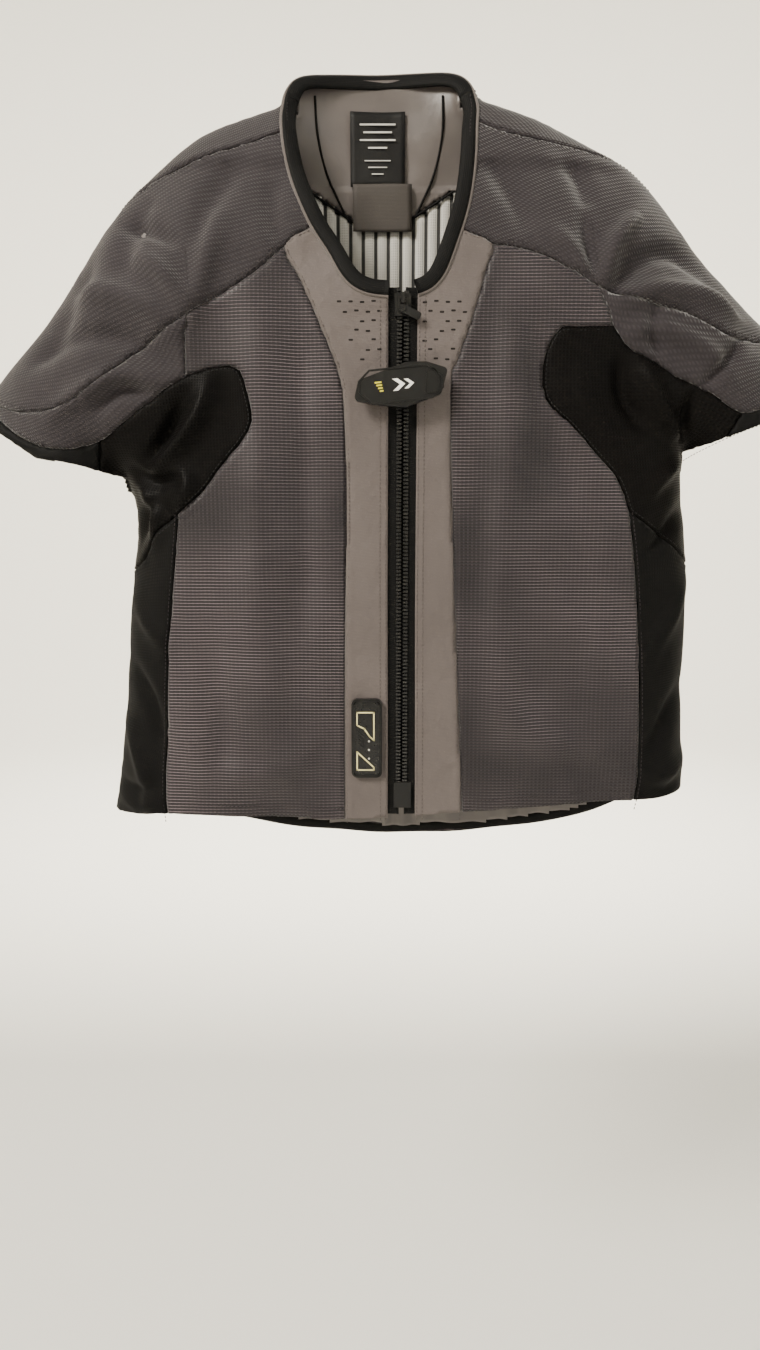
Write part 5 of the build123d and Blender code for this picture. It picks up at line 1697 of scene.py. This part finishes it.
# ------------------------------------------------------------------ zip
class Zip:
    """The front zip: woven tapes, moulded teeth and a dark guard strip behind them."""

    PITCH = 3.0

    def __init__(self) -> None:
        """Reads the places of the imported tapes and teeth."""
        low, high = (np.array(corner).round(5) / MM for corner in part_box("zip_chain_right"))
        tape_low, tape_high = (np.array(corner).round(5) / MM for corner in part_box("zip_tape_right"))
        self.top, self.bottom = high[2] - 1.0, low[2] - 6.0
        self.tooth_back = high[1] - 0.4
        self.tape_face = tape_low[1] + 0.1
        self.tape_edge = tape_high[0]
        self.tape_bottom, self.tape_top = tape_low[2] - 6.0, tape_high[2] + 2.0

    def build(self) -> None:
        """Makes the tapes and teeth and the guard behind them."""
        for hand, sign in ((Hand.LEFT, -1), (Hand.RIGHT, 1)):
            self._tape(hand, sign)
            self._teeth(hand, sign)
        self._guard()

    def _guard(self) -> None:
        """The dark cloth strip behind the teeth."""
        zs = np.arange(self.tape_bottom + 4, self.tape_top - 12, 4.0)
        xs = np.linspace(1 - self.tape_edge, self.tape_edge - 1, 7)
        points = [Vector((x, self.tape_face + 6.6 + 0.3 * math.sin(z / 14 + x / 5), z)) * MM
                  for z in zs for x in xs]
        faces = [[r * 7 + c, r * 7 + c + 1, (r + 1) * 7 + c + 1, (r + 1) * 7 + c]
                 for r in range(len(zs) - 1) for c in range(6)]
        obj = make_object("zip_guard", points, faces, "binding_black")
        set_uv(obj, [(x * MM, z * MM) for z in zs for x in xs])
        solid = obj.modifiers.new("thickness", "SOLIDIFY")
        solid.thickness = 0.0008
        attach(obj, "garment")

    def _tape(self, hand: Hand, sign: int) -> None:
        """One woven tape, its top end turned back."""
        zs = np.arange(self.tape_bottom, self.tape_top, 2.0)
        xs = self.tape_edge - np.array([11.8, 10.6, 9.8, 7.5, 5.0, 2.5, 0.0])
        lift = np.array([0.9, 0.9, 0.2, 0.0, 0.15, 0.0, 0.2])
        points = [Vector((sign * x, self.tape_face - u + 0.15 * math.sin(z / 9 + x), z)) * MM
                  for z in zs for x, u in zip(xs, lift)]
        wide = len(xs)
        faces = [[r * wide + c, r * wide + c + 1, (r + 1) * wide + c + 1, (r + 1) * wide + c]
                 for r in range(len(zs) - 1) for c in range(wide - 1)]
        obj = make_object("zip_tape_cloth_" + hand.value, points, faces, "zip_tape")
        set_uv(obj, [(x * MM, z * MM) for z in zs for x in xs])
        solid = obj.modifiers.new("thickness", "SOLIDIFY")
        solid.thickness = 0.0008
        solid.offset = 0
        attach(obj, "garment")
        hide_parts("zip_tape_" + hand.value)

    def _teeth(self, hand: Hand, sign: int) -> None:
        """The moulded teeth of one side."""
        made = Solids()
        start = self.top - (0.0 if sign < 0 else self.PITCH / 2)
        axes = (Vector((sign, 0, 0)), Vector((0, 0, 1)), Vector((0, -1, 0)))
        shape = np.array([(0.8, -0.55), (1.5, -0.95), (2.3, -0.6), (2.6, -0.75), (4.4, -1.0), (4.7, -0.7),
                          (4.7, 0.7), (4.4, 1.0), (2.6, 0.75), (2.3, 0.6), (1.5, 0.95), (0.8, 0.55)]) * MM
        z = start
        while z > self.bottom:
            outline = shape if sign > 0 else shape[::-1]
            made.prism(outline, axes, Vector((0, self.tooth_back, z)) * MM,
                       ((0, 1), (0.0042, 1), (0.0048, 0.97)))
            z -= self.PITCH
        obj = made.make("zip_teeth_" + hand.value, "zip_plastic", False)
        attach(obj, "garment")
        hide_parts("zip_chain_" + hand.value)


# ------------------------------------------------------------------ flap and display
class FlapDetail:
    """Raised border, slanted recess, plain emblem and accent on the closure flap."""

    def build(self) -> None:
        """Adds the details over the flap's face."""
        low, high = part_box("closure_flap")
        middle = Vector(((low[0] + high[0]) / 2, low[1], (low[2] + high[2]) / 2))
        tilt = math.radians(6)
        along = Vector((math.cos(tilt), 0, math.sin(tilt)))
        up = Vector((-math.sin(tilt), 0, math.cos(tilt)))
        axes = (along, up, Vector((0, -1, 0)))
        width, height = 70.0, 27.0
        ring = np.array([(-0.5, -0.12), (-0.5, 0.2), (-0.36, 0.5), (0.34, 0.5), (0.5, 0.14), (0.5, -0.22),
                         (0.36, -0.5), (-0.36, -0.5)]) * (width, height)
        border = Solids()
        self.bars(border, ring * 0.93, 1.5, middle, axes, 0.0007)
        recess = np.array([(18.5, -8.5), (28.5, -8.5), (30.5, 2.0), (27.0, 9.0), (21.5, 9.0)])
        self.bars(border, recess, 1.1, middle, axes, 0.0007)
        obj = border.make("flap_border", "flap_rubber", False)
        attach(obj, "flap")
        self._emblem(middle, axes)

    @staticmethod
    def bars(made: Solids, shape: np.ndarray, wide: float, middle: Vector,
              axes: tuple[Vector, Vector, Vector], high: float) -> None:
        """Raised bars along a closed outline given in millimetres."""
        for (x1, z1), (x2, z2) in zip(shape, np.roll(shape, -1, axis=0)):
            a = (axes[0] * x1 + axes[1] * z1) * MM
            b = (axes[0] * x2 + axes[1] * z2) * MM
            along = (b - a).normalized()
            across = axes[2].cross(along).normalized()
            bar = rounded((b - a).length + wide * MM, wide * MM, wide * 0.49 * MM, 4)
            made.prism(bar, (along, across, axes[2]), middle + (a + b) / 2,
                       ((-0.0004, 1), (high * 0.7, 1), (high, 0.9)))

    def _emblem(self, middle: Vector, axes: tuple[Vector, Vector, Vector]) -> None:
        """A plain pair of chevrons with small bars beside them."""
        white = Solids()
        chevron = np.array([(-7.5, 4.6), (-3.4, 4.6), (2.4, 0), (-3.4, -4.6), (-7.5, -4.6), (-1.7, 0)][::-1]) * MM
        for shift, size in ((1.0, 1.0), (8.5, 0.8)):
            at = middle + axes[0] * shift * MM - axes[2] * 0.00015
            white.prism(chevron * size, axes, at, ((0, 1), (0.0005, 1), (0.0006, 0.96)))
        obj = white.make("flap_emblem", "emblem_white", False)
        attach(obj, "flap")
        bars = Solids()
        for k in range(4):
            at = middle + axes[0] * (-17.5 + 0.7 * k) * MM + axes[1] * (3.0 - 2.2 * k) * MM - axes[2] * 0.00015
            bars.prism(rounded((5.4 - 0.8 * k) * MM, 1.2 * MM, 0.4 * MM, 2), axes, at, ((0, 1), (0.0005, 1)))
        accent = bars.make("flap_accent", "accent_yellow", False)
        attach(accent, "flap")


class DisplayDetail:
    """Printed outlines and ridges on the status display."""

    def build(self) -> None:
        """Adds the prints and ridges over the lens."""
        low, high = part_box("display_lens")
        middle = Vector(((low[0] + high[0]) / 2, low[1], (low[2] + high[2]) / 2))
        axes = (Vector((1, 0, 0)), Vector((0, 0, 1)), Vector((0, -1, 0)))
        prints = Solids()
        upper = [(-8.1, 22.1), (5.9, 22.1), (5.9, -1.4), (2.2, 2.0), (-2.0, 8.4), (-8.1, 11.4)]
        lower = [(-8.1, -11.4), (5.9, -24.6), (5.9, -26.8), (-8.1, -26.8)]
        for shape in (upper, lower):
            self._outline(prints, shape, middle, axes)
        obj = prints.make("display_print_lines", "display_print", False)
        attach(obj, "garment")
        rim = Solids()
        FlapDetail.bars(rim, rounded(21.4, 62.4, 2.6, 4), 1.3, middle, axes, 0.0008)
        obj = rim.make("display_rim", "display_shell", False)
        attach(obj, "garment")
        dots = Solids()
        disc = np.array([(math.cos(a), math.sin(a)) for a in np.linspace(0, 2 * math.pi, 15)[:-1]]) * 0.85 * MM
        for k in range(3):
            at = middle + Vector((1.8, 0, -2.2 - 7.4 * k)) * MM
            dots.prism(disc, axes, at, ((-0.0002, 1), (0.0003, 1), (0.0004, 0.7)))
        obj = dots.make("display_dots", "display_light", False)
        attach(obj, "garment")
        ridges = Solids()
        for k in range(5):
            z = 7.0 - k * 3.1
            at = middle + Vector((-5.6 + 0.2 * k, 0, z)) * MM
            turn = math.radians(-38)
            slant = (Vector((math.cos(turn), 0, math.sin(turn))), Vector((-math.sin(turn), 0, math.cos(turn))),
                     Vector((0, -1, 0)))
            ridges.prism(rounded(7.0 * MM, 1.4 * MM, 0.6 * MM, 3), slant, at,
                         ((-0.0002, 1), (0.0005, 1), (0.0007, 0.8)))
        obj = ridges.make("display_ridges", "display_shell", False)
        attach(obj, "garment")

    @staticmethod
    def _outline(made: Solids, shape: Line, middle: Vector, axes: tuple[Vector, Vector, Vector]) -> None:
        """Prints one closed outline as thin raised bars."""
        for (x1, z1), (x2, z2) in zip(shape, list(shape[1:]) + [shape[0]]):
            a, b = Vector((x1, 0, z1)) * MM, Vector((x2, 0, z2)) * MM
            along = (b - a).normalized()
            across = axes[2].cross(along).normalized()
            half = (b - a).length / 2 + 0.0005
            bar = np.array([(-half, -0.00055), (half, -0.00055), (half, 0.00055), (-half, 0.00055)])
            at = middle + (a + b) / 2
            made.prism(bar, (along, across, axes[2]), at, ((-0.0002, 1), (0.00018, 1)))


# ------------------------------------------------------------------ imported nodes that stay
KEPT: dict[str, str] = {
    "zip_slider": "slider_metal", "pull_link": "slider_metal", "pull_tab": "puller_rubber",
    "closure_flap": "flap_rubber", "flap_base": "flap_rubber", "flap_keeper": "flap_rubber",
    "flap_magnet": "magnet", "zip_box": "puller_rubber", "zip_pin": "puller_rubber",
    "display_housing": "display_shell", "display_lens": "display_gloss", "display_lights": "display_light",
    "display_board": "circuit_board", "control_board": "circuit_board", "port_socket": "display_shell",
    "port_cap": "flap_rubber", "protector_shell": "hard_plastic", "control_housing": "hard_plastic",
    "control_lid": "hard_plastic", "control_screws": "screw_steel", "battery": "battery_wrap",
    "inflators": "inflator_aluminium", "gas_manifold": "hard_plastic", "harness_ribbon": "ribbon_cable",
}
PADS = {"protector_foam": "foam"}


def dress_nodes(nodes: dict[str, bpy.types.Object]) -> None:
    """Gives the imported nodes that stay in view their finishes."""
    for name, finish in KEPT.items():
        mesh = nodes[name].data
        mesh.materials.clear()
        mesh.materials.append(FINISH.get(finish))
    for name, finish in PADS.items():
        source = nodes[name]
        pad = bpy.data.objects.new(name + "_pad", source.data.copy())
        bpy.context.scene.collection.objects.link(pad)
        pad.data.materials.clear()
        pad.data.materials.append(FINISH.get(finish))
        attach(pad, "garment")
        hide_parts(name)


# ------------------------------------------------------------------ studio
@dataclass(frozen=True)
class Studio:
    """Camera, lights and the pale surroundings."""

    camera_at: tuple[float, float, float] = (-0.018, -0.858, -0.338)
    pitch: float = 9.0
    lens: float = 26.0

    def build(self) -> None:
        """Makes the camera, lights and backdrop."""
        data = bpy.data.cameras.new("camera")
        data.lens, data.sensor_width = self.lens, 36.0
        data.clip_start = 0.02
        camera = bpy.data.objects.new("camera", data)
        camera.location = self.camera_at
        camera.rotation_euler = (math.radians(90 - self.pitch), 0, 0)
        bpy.context.scene.collection.objects.link(camera)
        bpy.context.scene.camera = camera
        self._light("key", (-1.7, -1.7, 1.5), (0, 0, -0.3), 0.9, 165, (1.0, 0.94, 0.84))
        self._light("fill", (1.9, -1.9, 0.2), (0, 0, -0.35), 1.8, 15, (0.95, 0.97, 1.0))
        self._light("behind", (0.6, 2.2, 1.2), (0, 0, -0.3), 1.6, 38, (1.0, 0.98, 0.95))
        self._light("wash", (0.0, 1.4, 1.2), (0.0, 6.0, 0.2), 2.4, 430, (1.0, 0.94, 0.82))
        self._light("low", (0.2, -1.6, -1.6), (0, 0, -0.4), 1.4, 7, (1.0, 0.98, 0.95))
        world = bpy.data.worlds.new("surroundings")
        world.use_nodes = True
        world.node_tree.nodes["Background"].inputs["Color"].default_value = (0.90, 0.87, 0.80, 1)
        world.node_tree.nodes["Background"].inputs["Strength"].default_value = 0.5
        bpy.context.scene.world = world
        self._bowl()

    @staticmethod
    def _light(name: str, at: Sequence[float], to: Sequence[float], size: float, power: float,
               colour: tuple[float, float, float]) -> None:
        """One square area light, aimed at a point."""
        data = bpy.data.lights.new(name, "AREA")
        data.shape, data.size, data.energy, data.color = "SQUARE", size, power, colour
        light = bpy.data.objects.new(name, data)
        light.location = at
        light.visible_camera = False
        light.rotation_euler = (Vector(to) - Vector(at)).to_track_quat("-Z", "Y").to_euler()
        bpy.context.scene.collection.objects.link(light)

    @staticmethod
    def _bowl() -> None:
        """A wide pale floor that curves up all round."""
        profile = [(0.0, -1.35), (3.8, -1.35)]
        profile += [(3.8 + 2.2 * math.sin(a), -1.35 + 2.2 * (1 - math.cos(a)))
                    for a in np.linspace(0.1, math.pi / 2, 12)]
        profile.append((6.0, 7.0))
        count = 72
        points, faces = [(0.0, 0.0, -1.35)], []
        for r, z in profile[1:]:
            points += [(r * math.cos(2 * math.pi * k / count), r * math.sin(2 * math.pi * k / count), z)
                       for k in range(count)]
        for k in range(count):
            n = (k + 1) % count
            faces.append([0, 1 + k, 1 + n])
            for row in range(len(profile) - 2):
                a = 1 + row * count
                faces.append([a + k, a + count + k, a + count + n, a + n])
        g = Graph("backdrop_paint")
        g.set(Base_Color=(0.86, 0.845, 0.79), Roughness=0.9)
        mesh = bpy.data.meshes.new("backdrop")
        mesh.from_pydata(points, [], faces)
        mesh.polygons.foreach_set("use_smooth", [True] * len(mesh.polygons))
        mesh.materials.append(g.material)
        bowl = bpy.data.objects.new("backdrop", mesh)
        bpy.context.scene.collection.objects.link(bowl)


def main() -> None:
    """Builds every piece in order."""
    logging.basicConfig(level=logging.INFO, format="%(relativeCreated)6d %(message)s")
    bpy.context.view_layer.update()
    Studio().build()
    garment = Garment()
    sewing = Stitching(garment)
    sew_rows(sewing)
    sewing.finish()
    perforate(garment)
    Edging(garment).build()
    garment.cut()
    dresser = PanelDresser()
    for name, obj in garment.panels.items():
        dresser.dress(name, obj)
    Lining().build()
    Airbags().build()
    Zip().build()
    FlapDetail().build()
    DisplayDetail().build()
    dress_nodes(frame["nodes"])


if __name__ == "__main__":
    main()
